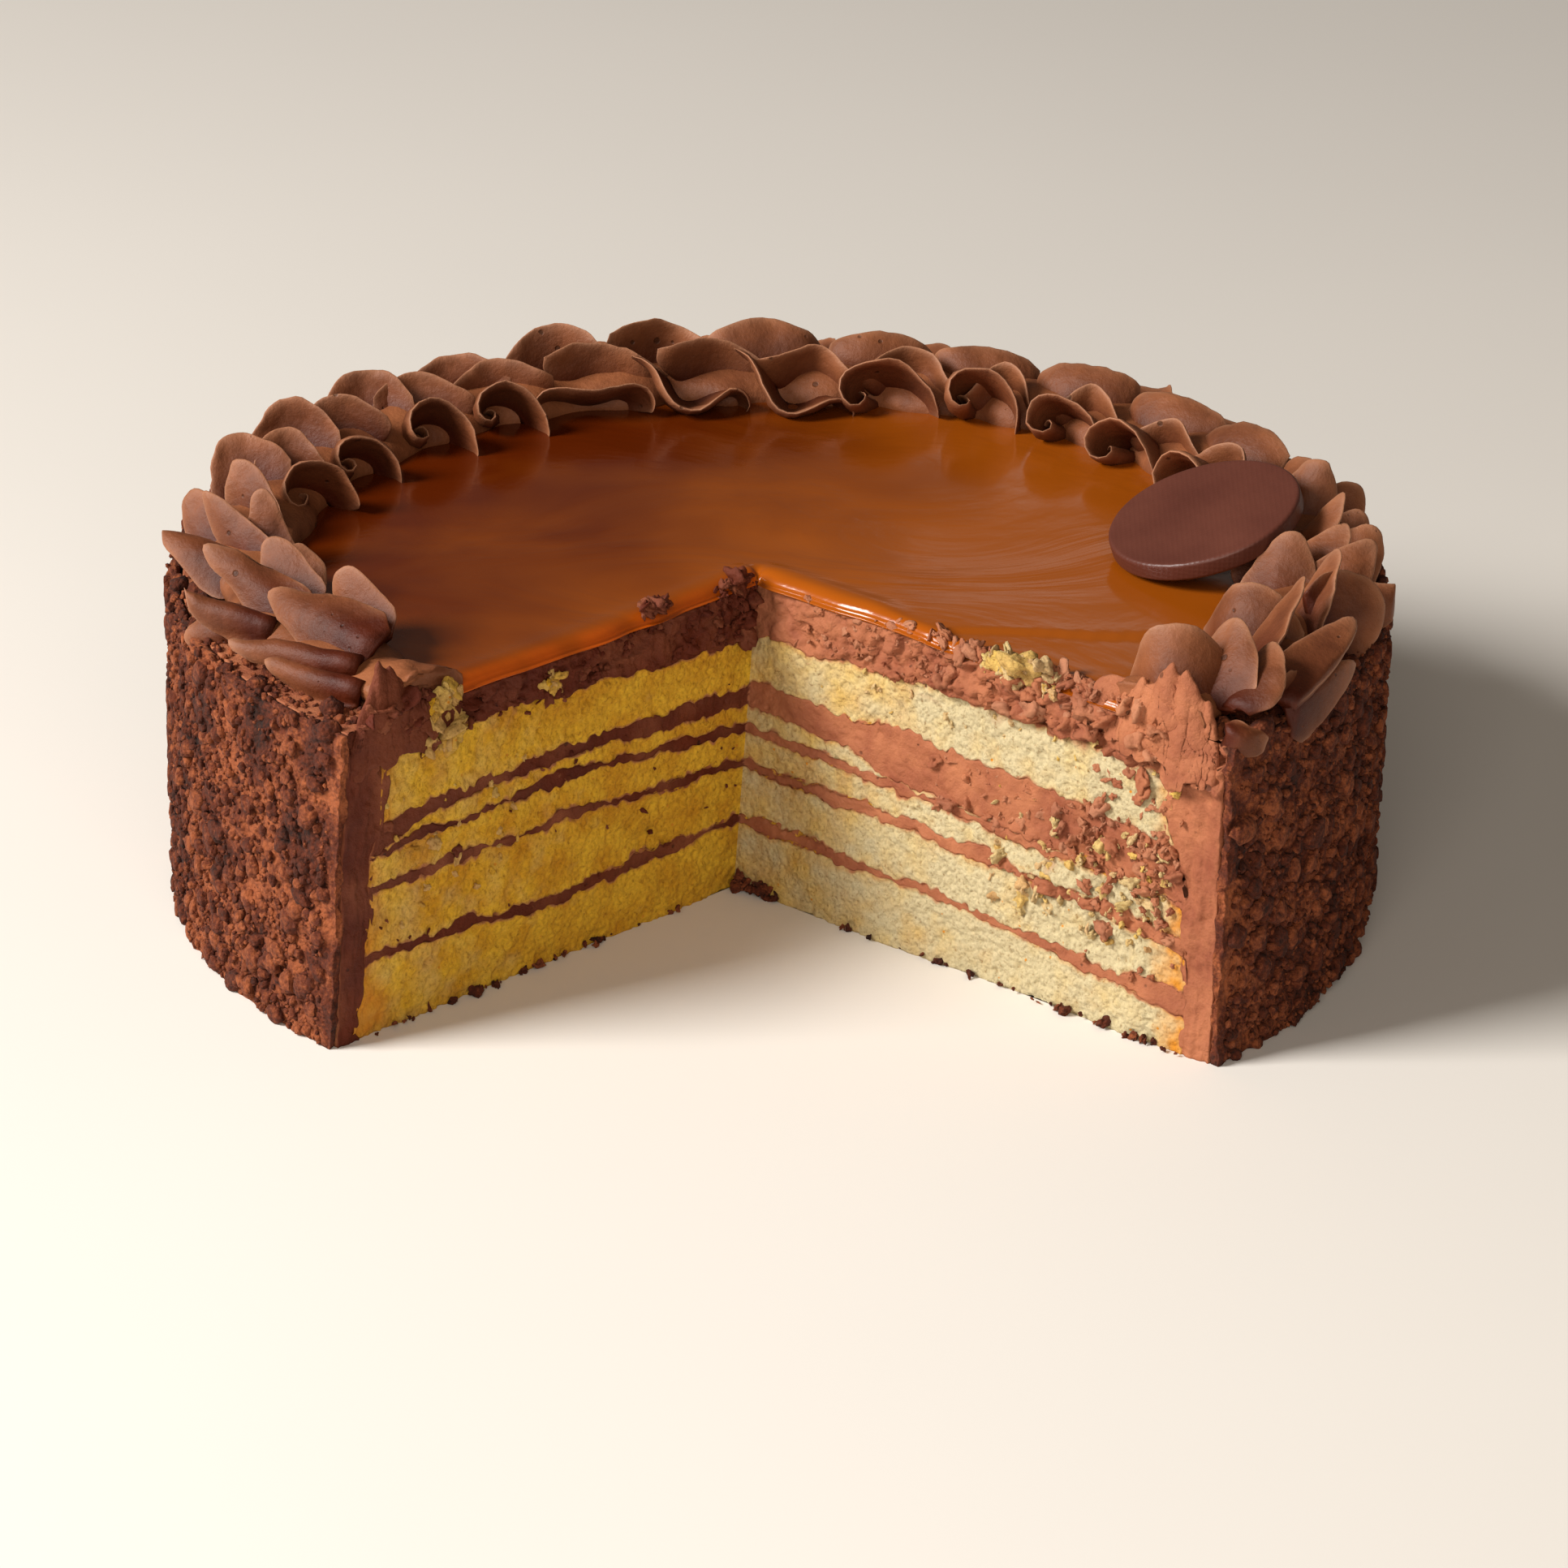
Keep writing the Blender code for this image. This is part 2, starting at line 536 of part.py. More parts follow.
def as_cutter(thing):
    """Marks an object as a cutter."""
    thing.hide_render = True
    thing.display_type = "WIRE"
    return thing


def cake_cutter(home):
    """Room for the cake under the border: a turned body one gap larger than what the border sits on."""
    shelf = CARAMEL_RADIUS + CUTTER_MARGIN
    wall = RIM_RADIUS + CRUMB_BULGE
    profile = (
        (0.0, CAKE_HEIGHT + GAP),
        (shelf, CAKE_HEIGHT + GAP),
        (shelf, COAT_TOP + GAP),
        (wall, COAT_TOP + GAP),
        (wall, CUTTER_FLOOR),
        (0.0, CUTTER_FLOOR),
    )
    mesh = bpy.data.meshes.new("cake_cutter")
    points = [(r * MM, 0.0, z * MM) for r, z in profile]
    mesh.from_pydata(points, [(i, i + 1) for i in range(len(points) - 1)], [])
    made = bpy.data.objects.new("cake_cutter", mesh)
    home.objects.link(made)
    turned = made.modifiers.new("turned", "SCREW")
    turned.steps = turned.render_steps = CUTTER_STEPS
    turned.merge_threshold = 0.0001
    turned.use_merge_vertices = True
    return as_cutter(made)


def solid_of(thing):
    """A copy of an object's evaluated mesh as a bmesh, in world space."""
    bpy.context.view_layer.update()
    seen = thing.evaluated_get(bpy.context.evaluated_depsgraph_get())
    bm = bmesh.new()
    bm.from_mesh(seen.to_mesh())
    bm.transform(thing.matrix_world)
    seen.to_mesh_clear()
    return bm


def wedge_cutter(home):
    """The missing slice, as tall as the border: a prism on the two knife faces."""
    bm = bmesh.new()
    bmesh.ops.create_cone(bm, cap_ends=True, segments=3, radius1=1.0, radius2=1.0, depth=2.0)
    corners = sorted({round(math.atan2(v.co.y, v.co.x), 3) for v in bm.verts})
    plan = dict(zip(corners, ((0.0, 0.0), (0.0, WEDGE_REACH), (1.0, WEDGE_REACH))))
    for vertex in bm.verts:
        sweep, reach = plan[round(math.atan2(vertex.co.y, vertex.co.x), 3)]
        vertex.co = place(sweep, reach, WEDGE_HEIGHTS[0 if vertex.co.z < 0 else 1])
    return as_cutter(add_object("wedge_cutter", bm, None, home))


def disc_frame():
    """Centre and turning matrix of the chocolate disc. Its lowest edge is one gap over the caramel."""
    way = np.radians(DISC_RISES_TOWARDS)
    axis = np.array([np.sin(way), -np.cos(way), 0.0])
    turned = turn_about(axis, DISC_TILT)
    tilt = math.radians(DISC_TILT)
    rise = DISC_RADIUS * math.sin(tilt) + 0.5 * DISC_THICKNESS * math.cos(tilt)
    return np.array([DISC_CENTRE[0], DISC_CENTRE[1], CAKE_HEIGHT + GAP + rise]), turned


def disc_mesh(name, grow, material, home):
    """The disc, or the same disc grown by a gap."""
    centre, turned = disc_frame()
    bm = bmesh.new()
    bmesh.ops.create_cone(
        bm,
        cap_ends=True,
        segments=DISC_SIDES,
        radius1=DISC_RADIUS + grow,
        radius2=DISC_RADIUS + grow,
        depth=DISC_THICKNESS + 2 * grow,
    )
    for vertex in bm.verts:
        vertex.co = (centre + turned @ np.array(vertex.co)) * MM
    return add_object(name, bm, material, home)


def chocolate_disc(material, home):
    """The plain chocolate disc, with a small round along both rims."""
    made = disc_mesh("plaque", 0.0, material, home)
    edge = made.modifiers.new("edge", "BEVEL")
    edge.width = DISC_EDGE * MM
    edge.segments = 1
    edge.limit_method = "ANGLE"
    return made


def boolean(thing, operation, other):
    """A Boolean with an object or a collection."""
    cut = thing.modifiers.new(operation.lower(), "BOOLEAN")
    cut.operation = operation
    cut.solver = "MANIFOLD"
    if isinstance(other, bpy.types.Collection):
        cut.operand_type = "COLLECTION"
        cut.collection = other
    else:
        cut.object = other
    return cut


def keep_largest(bm):
    """Drops loose scraps and keeps the body with the most faces."""
    left = set(bm.verts)
    bodies = []
    while left:
        start = left.pop()
        body, edge = {start}, [start]
        while edge:
            for link in edge.pop().link_edges:
                for vertex in link.verts:
                    if vertex in left:
                        left.discard(vertex)
                        body.add(vertex)
                        edge.append(vertex)
        bodies.append(body)
    bodies.sort(key=len)
    scraps = [vertex for body in bodies[:-1] for vertex in body]
    bmesh.ops.delete(bm, geom=scraps, context="VERTS")


def piped_border(material, home, cutters):
    """The border: rope and petals made one body, then cut clear of the cake, the slice and the disc."""
    made = rope(material, home)
    petals = collection("petals")
    for name, sheet in (*tier_petals(), *end_petals()):
        petal_object(name, sheet, petals)
    boolean(made, "UNION", petals)
    grown_disc = as_cutter(disc_mesh("disc_cutter", GAP, None, cutters))
    for cutter in (cake_cutter(cutters), wedge_cutter(cutters), grown_disc):
        boolean(made, "DIFFERENCE", cutter)
    bm = solid_of(made)
    made.modifiers.clear()
    keep_largest(bm)
    bmesh.ops.remove_doubles(bm, verts=bm.verts, dist=WELD * MM)
    bmesh.ops.dissolve_degenerate(bm, edges=bm.edges, dist=0.25 * WELD * MM)
    bm.to_mesh(made.data)
    bm.free()
    for petal in list(petals.objects):
        bpy.data.objects.remove(petal, do_unlink=True)
    bpy.data.collections.remove(petals)
    return made


def main():
    clear_scene()
    cake = collection("dobos_torte")
    cutters = collection("cutters")
    sponge = finish("sponge", "E2BC62", 0.9)
    cream = finish("chocolate_buttercream", "8C5238", 0.55)
    for index, (name, _) in enumerate(LAYERS[:-1]):
        cake_layer(index, sponge if name.startswith("sponge") else cream, cake)
    buttercream_coat(cream, cake)
    caramel_top(finish("caramel_glaze", "7F3F10", 0.2), cake)
    crumb_coat(finish("chocolate_crumbs", "5E2C18", 0.95), cake)
    piped_border(cream, cake, cutters)
    chocolate_disc(finish("dark_chocolate", "4C261C", 0.4), cake)


main()
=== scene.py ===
"""The looks of a cut dobos torte: sponge, chocolate buttercream, caramel, crumbs, piping and disc.

Shapes are worked out in millimetres and become metres where a mesh is made. A point of a cake layer
has a sweep from 0 (right cut face) to 1 (left cut face), a reach from the point of the cut towards
the rim, and a height.
"""

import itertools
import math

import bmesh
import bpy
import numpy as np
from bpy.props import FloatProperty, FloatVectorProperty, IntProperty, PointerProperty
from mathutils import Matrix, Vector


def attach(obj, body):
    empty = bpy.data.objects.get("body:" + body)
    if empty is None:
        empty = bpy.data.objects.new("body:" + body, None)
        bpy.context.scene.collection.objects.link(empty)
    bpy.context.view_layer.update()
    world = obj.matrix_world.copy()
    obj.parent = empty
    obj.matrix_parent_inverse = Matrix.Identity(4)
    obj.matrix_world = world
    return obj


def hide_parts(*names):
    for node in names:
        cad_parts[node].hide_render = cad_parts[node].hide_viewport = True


bl_info = {
    "name": "Dobos Torte",
    "version": (1, 0, 0),
    "blender": (4, 5, 0),
    "location": "View3D > Sidebar > Torte",
    "description": "Builds the layers, caramel, crumbs and piping of a cut dobos torte",
    "category": "Add Mesh",
}

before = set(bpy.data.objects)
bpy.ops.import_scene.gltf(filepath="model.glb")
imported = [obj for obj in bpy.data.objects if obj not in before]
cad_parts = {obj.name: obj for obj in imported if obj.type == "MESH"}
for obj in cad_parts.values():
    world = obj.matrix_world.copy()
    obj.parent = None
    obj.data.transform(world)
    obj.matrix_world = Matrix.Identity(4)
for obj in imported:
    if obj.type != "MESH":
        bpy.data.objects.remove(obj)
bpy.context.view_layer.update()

MM = 0.001

# Driving dimensions, in millimetres and degrees, as the solids have them.
RIM_RADIUS = 126.0
CAKE_HEIGHT = 71.0
CARAMEL_THICKNESS = 2.8
COAT_THICKNESS = 7.7
CRUMB_THICKNESS = 3.2
GAP = 0.3
RIGHT_CUT = -45.0
LEFT_CUT = 226.6
LEFT_CUT_LEAN = 1.9
APEX = (-8.0, -8.6)
APEX_LEAN = 3.5
CARAMEL_RADIUS = 104.0
WALL_RADIUS = RIM_RADIUS - CRUMB_THICKNESS - GAP
SPONGE_RADIUS = WALL_RADIUS - COAT_THICKNESS - GAP
COAT_TOP = CAKE_HEIGHT - CARAMEL_THICKNESS - GAP

# Layers, bottom to top, as thicknesses at five stations along the two cut faces:
# left rim, left middle, point of the cut, right middle, right rim.
LAYERS = (
    ("sponge_1", (17.3, 12.0, 14.5, 14.0, 9.0)),
    ("cream_1", (1.5, 2.1, 2.2, 2.2, 4.0)),
    ("sponge_2", (12.9, 15.8, 9.8, 11.8, 9.5)),
    ("cream_2", (2.1, 1.6, 2.2, 2.5, 3.5)),
    ("sponge_3", (6.3, 6.8, 6.4, 5.0, 6.0)),
    ("cream_3", (1.8, 1.9, 2.2, 2.2, 1.8)),
    ("sponge_4", (3.3, 3.7, 3.7, 1.9, 1.7)),
    ("cream_4", (2.3, 2.0, 5.2, 11.0, 10.5)),
    ("sponge_5", (16.3, 11.3, 9.4, 12.5, 15.0)),
    ("top_cream", (9.5, 11.0, 15.3, 12.5, 14.0)),
)
THIN_LAYER = 6
# On the right and on the left face: the columns of the rim and of the middle, and the shares of the
# reach between which the thin layer fades out.
FACE_COLUMNS = ((4, 3, 0.24, 0.36), (0, 1, 0.84, 0.98))
LAYER_WAVE = 0.7
STATIONS = (0.0, 0.5, 1.0)
LEAST_LAYER = 0.05

# Noises that are added up, each as strength, size and seed: of the surfaces between the layers, of
# the ragged end of the sponge, of both cut faces, of cut sponge, of cut cream, of the top and the foot
# of smeared cream, and of petals.
SURFACE_NOISES = ((0.8, 13.0, 30), (0.6, 6.0, 31), (0.75, 2.4, 47), (0.5, 1.1, 53))
SPONGE_END_NOISES = ((1.8, 18.0, 5), (1.5, 5.5, 6), (0.6, 1.8, 7))
FACE_NOISES = ((0.7, 24.0, 71), (0.35, 9.0, 72))
SPONGE_NOISES = ((0.16, 2.6, 82), (0.32, 1.15, 83))
CREAM_NOISES = ((0.22, 2.2, 92), (0.16, 1.1, 95))
SMEAR_TOP_NOISES = ((0.25, 6.0, 181), (0.1, 1.8, 182))
SMEAR_FOOT_NOISES = ((2.2, 4.0, 186), (0.9, 1.5, 187))
PETAL_NOISES = ((0.9, 9.0, 171), (0.3, 2.4, 172))

# Spacing of scattered features: holes of the sponge, pits, flakes and chips of the cream, and big and
# small lumps of the bed of crumbs.
SPONGE_HOLES = 2.4
CREAM_PITS = 3.0
CREAM_FLAKES = 7.5
CREAM_CHIPS = 3.1
BIG_LUMPS = 4.2
SMALL_LUMPS = 2.0

# How far the side coat reaches over the ends of the sponge where they meet, and about how deep the
# top cream is, which sets its rows.
OVERLAP = 0.8
TOP_CREAM_DEPTH = 15.0

# How far over the top cream the caramel and the piping start.
CREAM_CLEAR = 0.05

# Caramel: how far it runs in under the piping, the radius of its rounded edge, and the line, in y,
# that the lip of its second run follows.
CARAMEL_UNDER = 1.0
CARAMEL_EDGE = 2.3
CARAMEL_LIP = -37.6

# Steps of the meshes, in millimetres. A first step is the one beside a cut face. A lower step is how
# many steps of the upper side one step of the lower side spans.
CUT_STEP = 0.5
CARAMEL_STEP = 1.0
CARAMEL_ARC_STEP = 2.4
CARAMEL_FIRST_STEP = 0.15
CRUMB_STEP = 0.8
CRUMB_FIRST_STEP = 0.3
CRUMB_ROW_STEP = 0.7
CRUMB_LOWER_STEP = 8

# Share of the loose crumbs that lie on the top rim, and how far in they reach.
TOP_CRUMBS = 0.14
CRUMBS_FROM = 111.0
# How far inside the rim the bed of crumbs lies, and how deep it is.
CRUMBS_IN = 1.7
CRUMB_BED_DEPTH = 4.0
# Loose crumbs: piece, the property that counts them, smallest and largest radius, subdivisions, seed.
LOOSE_CRUMBS = (
    ("crumbs_fine", "fine_crumbs", 0.45, 1.2, 1, 21),
    ("crumbs_dust", "fine_crumbs", 0.3, 0.8, 1, 23),
    ("crumbs_coarse", "coarse_crumbs", 1.0, 2.6, 2, 22),
)
# Nothing loose lies lower than this.
FLOOR_CLEAR = 0.02

# Piped border.
ROPE_HEIGHT = 71.0
PIPING_TOP = 88.5
SQUEEZES = 21
PETAL_SEED = 5

# Where crumbs and piping start to be eased back at the rim and at the top, and the room past that.
RIM_EASE = (RIM_RADIUS - 1.2, 1.4)
TOP_EASE = (PIPING_TOP - 1.5, 1.5)

# Chocolate disc.
DISC_RADIUS = 20.3
DISC_THICKNESS = 4.0
DISC_CENTRE = (87.0, 2.8)
DISC_TILT = 19.5
DISC_RISES_TOWARDS = 22.0
DISC_EDGE = 0.8
DISC_EDGE_POINTS = 7
DISC_POINTS_ROUND = 128
DISC_RINGS = (0.0, 0.3, 0.6, 0.85, 0.95)

# Patterns in the materials, by how many of them fit in a metre: patches and specks of the sponge,
# patches and grain of the cream, flow marks and swells of the caramel, grain and granules of the
# crumbs, bloom and mould dots of the chocolate, and mottle of the floor. The grains and granules are
# drawn coarser than the real ones, which would be too fine to show.
SPONGE_PATCHES = 110.0
SPONGE_SPECKS = 320.0
CREAM_PATCHES = 90.0
CREAM_GRAINS = 700.0
CARAMEL_FLOW_MARKS = 14.0
CARAMEL_SWELLS = 45.0
CRUMB_GRAINS = 650.0
CRUMB_GRANULES = 950.0
CHOCOLATE_BLOOMS = 60.0
MOULD_DOTS = 1000.0
FLOOR_MOTTLES = 3.0

# Camera: where it stands, in metres, how far it looks down and rolls, in degrees, and its lens.
CAMERA_PLACE = (0.0019, -1.118, 0.510)
CAMERA_PITCH = 66.32
CAMERA_ROLL = 1.44
CAMERA_LENS = 134.3
SENSOR = 36.0

# Square soft lights: name, place and target in metres, width in metres, power in watts, colour. The
# room's own light is a colour and a strength.
LIGHTS = (
    ("window", (-1.45, -0.58, 1.15), (0.0, 0.0, 0.05), 0.7, 62.0, "FFFCF8"),
    ("fill", (0.05, -1.55, 0.8), (0.0, 0.0, 0.05), 1.2, 13.0, "FFF4E6"),
    ("wall_sheen", (0.14, 1.6, 0.62), (0.03, 0.05, 0.07), 0.12, 0.03, "FFF4E6"),
)
ROOM_COLOUR = "EFE0D0"
ROOM_STRENGTH = 0.11
# Corners of the floor, in metres.
FLOOR_CORNERS = ((-6.0, -6.0, 0.0), (6.0, -6.0, 0.0), (6.0, 6.0, 0.0), (-6.0, 6.0, 0.0))

# Hash constants of the noise: three large odd numbers for x, y and z, one for the seed, one to mix.
HASH_AXES = (374761393, 668265263, 2147483629)
HASH_SEED = 1013904223
HASH_MIX = 1274126177


# ---------------------------------------------------------------- noise and small sums


def scatter(cell, seed):
    """A random-looking number from 0 to 1 for each whole-number cell: its coordinates times large
    odd numbers are summed, folded onto themselves twice, and the lowest 24 bits are kept."""
    mixed = (cell * np.array(HASH_AXES)).sum(axis=-1) + seed * HASH_SEED
    mixed = (mixed ^ (mixed >> 13)) * HASH_MIX
    mixed = mixed ^ (mixed >> 16)
    return (mixed & 0xFFFFFF) / 0xFFFFFF


def noise(points, size, seed):
    """Smooth noise from -1 to 1: random numbers at the corners of cubes of that size, blended by
    the curve 6t^5 - 15t^4 + 10t^3 along each axis."""
    scaled = np.asarray(points) / size
    cell = np.floor(scaled).astype(np.int64)
    part = scaled - cell
    part = part**3 * (part * (part * 6.0 - 15.0) + 10.0)
    total = np.zeros(scaled.shape[:-1])
    for corner in itertools.product((0, 1), repeat=3):
        weight = np.prod(np.where(corner, part, 1.0 - part), axis=-1)
        total += weight * scatter(cell + np.array(corner), seed)
    return 2.0 * total - 1.0


def rough(points, size, seed, octaves=3):
    """Noise plus copies of it at half the size and half the strength."""
    return sum(noise(points, size / 2**k, seed + k) / 2**k for k in range(octaves))


def plus_noises(value, points, layers):
    """The value plus noises, each given by its strength, size and seed."""
    for strength, size, seed in layers:
        value = value + strength * noise(points, size, seed)
    return value


def nearest_seed(points, size, seed):
    """Distance, in sizes, to the nearest of the points scattered one to a cube, and the random
    number of that point's cube."""
    scaled = np.asarray(points) / size
    cell = np.floor(scaled).astype(np.int64)
    best = np.full(scaled.shape[:-1], np.inf)
    lot = np.zeros(scaled.shape[:-1])
    for offset in itertools.product((-1, 0, 1), repeat=3):
        near = cell + np.array(offset)
        spot = near + np.stack([scatter(near, seed + axis) for axis in range(3)], axis=-1)
        distance = np.linalg.norm(spot - scaled, axis=-1)
        closer = distance < best
        lot = np.where(closer, scatter(near, seed + 3), lot)
        best = np.where(closer, distance, best)
    return best, lot


def step_up(value, low, high):
    """0 below low, 1 above high, and 3t^2 - 2t^3 between them."""
    t = np.clip((value - low) / (high - low), 0.0, 1.0)
    return t * t * (3.0 - 2.0 * t)


def eased(value, start, room):
    """The value where it is below start, and above it less and less more, never past start by room."""
    return np.where(value > start, start + room * np.tanh((value - start) / room), value)


def unit(vectors):
    """Vectors of length one."""
    return vectors / np.maximum(np.linalg.norm(vectors, axis=-1, keepdims=True), 1e-12)


# ---------------------------------------------------------------- the cake's own coordinates


def tip(height):
    """The point of the cut at a height: it leans towards +X as it rises."""
    return np.stack([APEX[0] + APEX_LEAN * height / CAKE_HEIGHT, APEX[1] + 0.0 * height], axis=-1)


def cut_angle(sweep, height):
    """Angle in radians: from the right cut to the left cut, whose angle grows with the height."""
    left = LEFT_CUT + LEFT_CUT_LEAN * height / CAKE_HEIGHT
    return np.radians(RIGHT_CUT + sweep * (left - RIGHT_CUT))


def place(sweep, reach, height):
    """World points, in millimetres: from the point of the cut towards the rim point at that sweep."""
    sweep, reach, height = np.broadcast_arrays(sweep, reach, height)
    angle = cut_angle(sweep, height)
    start = tip(height)
    rim = RIM_RADIUS * np.stack([np.cos(angle), np.sin(angle)], axis=-1)
    plan = start + (rim - start) * (reach / RIM_RADIUS)[..., None]
    return np.concatenate([plan, height[..., None]], axis=-1)


def face_direction(side, height):
    """Direction in plan from the point of the cut along a cut face: side 1 is right and -1 left."""
    sweep = np.where(side > 0, 0.0, 1.0)
    angle = cut_angle(sweep, height)
    rim = RIM_RADIUS * np.stack([np.cos(angle), np.sin(angle)], axis=-1)
    return unit(rim - tip(height))


def into_slice(side, reach, height):
    """Direction that points off a cut face into the missing slice. Near the point of the cut it
    blends to straight forwards, so that both faces move as one there."""
    along = face_direction(side, height)
    sign = np.where(side > 0, 1.0, -1.0)[..., None]
    across = np.stack([along[..., 1], -along[..., 0]], axis=-1) * sign
    share = np.clip(reach / 6.0, 0.0, 1.0)[..., None]
    blended = unit(across * share + np.array([0.0, -1.0]) * (1.0 - share))
    return np.concatenate([blended, np.zeros(blended.shape[:-1] + (1,))], axis=-1)


def distance_to_cut(points):
    """Distance in plan to the nearer cut face, and which side it is: the perpendicular to the face
    where it has one, and otherwise the distance to the point of the cut. A face that lies behind the
    point is far off."""
    height = points[..., 2]
    offset = points[..., :2] - tip(height)
    result = []
    for side in (1.0, -1.0):
        along = face_direction(np.full(height.shape, side), height)
        ahead = (offset * along).sum(axis=-1)
        beside = (offset[..., 1] * along[..., 0] - offset[..., 0] * along[..., 1]) * side
        across = np.maximum(beside, 0.0) + 1e3 * (beside < -0.5)
        result.append(np.where(ahead > 0, across, np.linalg.norm(offset, axis=-1)))
    return np.minimum(*result), np.where(result[0] <= result[1], 1.0, -1.0)


def layer_heights(sweep, reach):
    """Heights of the eleven surfaces between the layers, as the first axis. Thicknesses run straight
    between the stations of each cut face, are scaled to the height of the cake, blend with the sweep
    from face to face, and carry a slow wave and a fine roughness. The thin fourth sponge fades out."""
    sweep, reach = np.broadcast_arrays(sweep, reach)
    fraction = np.minimum(reach / SPONGE_RADIUS, 1.0)
    faces = []
    for rim, middle, fade_from, fade_to in FACE_COLUMNS:
        thick = np.stack([np.interp(fraction, STATIONS, (t[2], t[middle], t[rim])) for _, t in LAYERS])
        faded = thick[THIN_LAYER] * step_up(fraction, fade_from, fade_to)
        thick[THIN_LAYER] -= faded
        thick[THIN_LAYER + 1] += faded
        top = np.cumsum(thick, axis=0)
        faces.append(top / top[-1] * CAKE_HEIGHT)
    plan = place(sweep, reach, np.full(reach.shape, 0.5 * CAKE_HEIGHT))
    heights = [np.zeros(reach.shape)]
    for index in range(1, len(LAYERS) + 1):
        level = faces[0][index - 1] * (1 - sweep) + faces[1][index - 1] * sweep
        if index < len(LAYERS):
            wave = np.sin(np.pi * sweep) * np.sin(7.0 * sweep + 1.3 * index) * fraction
            shifted = plan + np.array([0.0, 0.0, 40.0 * index])
            level = plus_noises(level + LAYER_WAVE * wave, shifted, SURFACE_NOISES)
        heights.append(np.maximum(level, heights[-1] + LEAST_LAYER))
    return np.stack(heights)


def sponge_end(sweep, height):
    """Reach at which the sponge ends: ragged by noise of three sizes, a little further out low down,
    and further in at the top of the right cut, where the cream is thick."""
    edge = place(sweep, SPONGE_RADIUS, height)
    near_right = np.clip(1 - 8 * sweep, 0, 1)
    shift = 2.2 - 3.0 * step_up(height, 10.0, 40.0) - 5.0 * step_up(height, 36.0, 56.0) * near_right
    return plus_noises(SPONGE_RADIUS + shift, edge, SPONGE_END_NOISES)


# ---------------------------------------------------------------- meshes


def even_steps(length, step):
    """Even parameters from 0 to 1 for a length at about that step."""
    return np.linspace(0.0, 1.0, max(int(round(length / step)), 2) + 1)


def hidden_sweeps():
    """Sweeps of a side that other layers hide: close together near the cut faces."""
    near = np.array([0.0, 0.0008, 0.002, 0.004, 0.008, 0.016, 0.03])
    return np.concatenate([near, np.linspace(0.06, 0.94, 23), 1.0 - near[::-1]])


def fine_sweeps(radius, step, first):
    """Sweeps of a side that shows: even steps at a radius, with steps that grow from first (in
    millimetres) near the cut faces."""
    arc = math.radians(LEFT_CUT + LEFT_CUT_LEAN - RIGHT_CUT) * radius
    ramp = np.cumsum(np.geomspace(first, step, 14)) / arc
    middle = np.linspace(ramp[-1], 1.0 - ramp[-1], int((arc - 2 * ramp[-1] * arc) / step))
    return np.concatenate([[0.0], ramp[:-1], middle, 1.0 - ramp[-2::-1], [1.0]])


def sector_loop(stations, rows, sweeps, lower_step):
    """Station, row, sweep and side of every vertex of a plan sector. At each station its loop climbs
    the right cut face, crosses the upper side, comes down the left cut face and returns across the
    lower side, which may use only every lower_step-th sweep. Side is 1 and -1 on the cut faces."""
    upper, lower = sweeps[1:-1], sweeps[lower_step:-1:lower_step][::-1]
    count = len(rows)
    row = np.concatenate([rows, np.ones(len(upper)), rows[::-1], np.zeros(len(lower))])
    sweep = np.concatenate([np.zeros(count), upper, np.ones(count), lower])
    side = np.concatenate([np.ones(count), 0 * upper, -np.ones(count), 0 * lower])
    shape = (len(stations), len(row))
    station = np.broadcast_to(np.asarray(stations)[:, None], shape)
    return [station] + [np.broadcast_to(a, shape) for a in (row, sweep, side)]


def sector_faces(station_count, row_count, sweep_count, lower_step, lids):
    """Faces of a plan sector: four-sided ones between stations, and lids at the stations named,
    cut into cells from the lower side to the upper side."""
    upper_count = sweep_count - 2
    lower_count = len(range(lower_step, sweep_count - 1, lower_step))
    loop = 2 * row_count + upper_count + lower_count
    index = np.arange(station_count * loop).reshape(station_count, loop)
    turned = np.roll(index, -1, axis=1)
    faces = np.stack([index[:-1], turned[:-1], turned[1:], index[1:]], axis=-1).reshape(-1, 4).tolist()
    for lid in lids:
        ring = index[lid].tolist()
        right = ring[:row_count]
        upper = ring[row_count : row_count + upper_count]
        left = ring[row_count + upper_count : 2 * row_count + upper_count][::-1]
        lower = ring[2 * row_count + upper_count :][::-1]
        top = [right[-1]] + upper + [left[-1]]
        bottom = [right[0]] + lower + [left[0]]
        for k in range(len(bottom) - 1):
            cell = top[k * lower_step : (k + 1) * lower_step + 1]
            if k == len(bottom) - 2:
                cell = top[k * lower_step :]
            start = right[1:-1] if k == 0 else []
            end = left[1:-1][::-1] if k == len(bottom) - 2 else []
            faces.append([bottom[k]] + start + cell + end + [bottom[k + 1]])
    return faces


def make_piece(name, points, faces, material, attributes=None, merge=0.001):
    """A closed mesh object from points in millimetres. Doubled points are merged and its faces are
    turned outwards. Attributes are numbers kept at each point for the material."""
    mesh = bpy.data.meshes.new(name)
    mesh.from_pydata((np.asarray(points).reshape(-1, 3) * MM).tolist(), [], faces)
    for label, values in (attributes or {}).items():
        layer = mesh.attributes.new(label, "FLOAT", "POINT")
        layer.data.foreach_set("value", np.asarray(values, dtype=np.float32).ravel())
    work = bmesh.new()
    work.from_mesh(mesh)
    if merge:
        bmesh.ops.remove_doubles(work, verts=work.verts, dist=merge * MM)
    bmesh.ops.recalc_face_normals(work, faces=work.faces)
    if work.calc_volume(signed=True) < 0:
        bmesh.ops.reverse_faces(work, faces=work.faces)
    work.to_mesh(mesh)
    work.free()
    mesh.shade_smooth()
    mesh.materials.append(material)
    made = bpy.data.objects.new(name, mesh)
    bpy.context.scene.collection.objects.link(made)
    return made


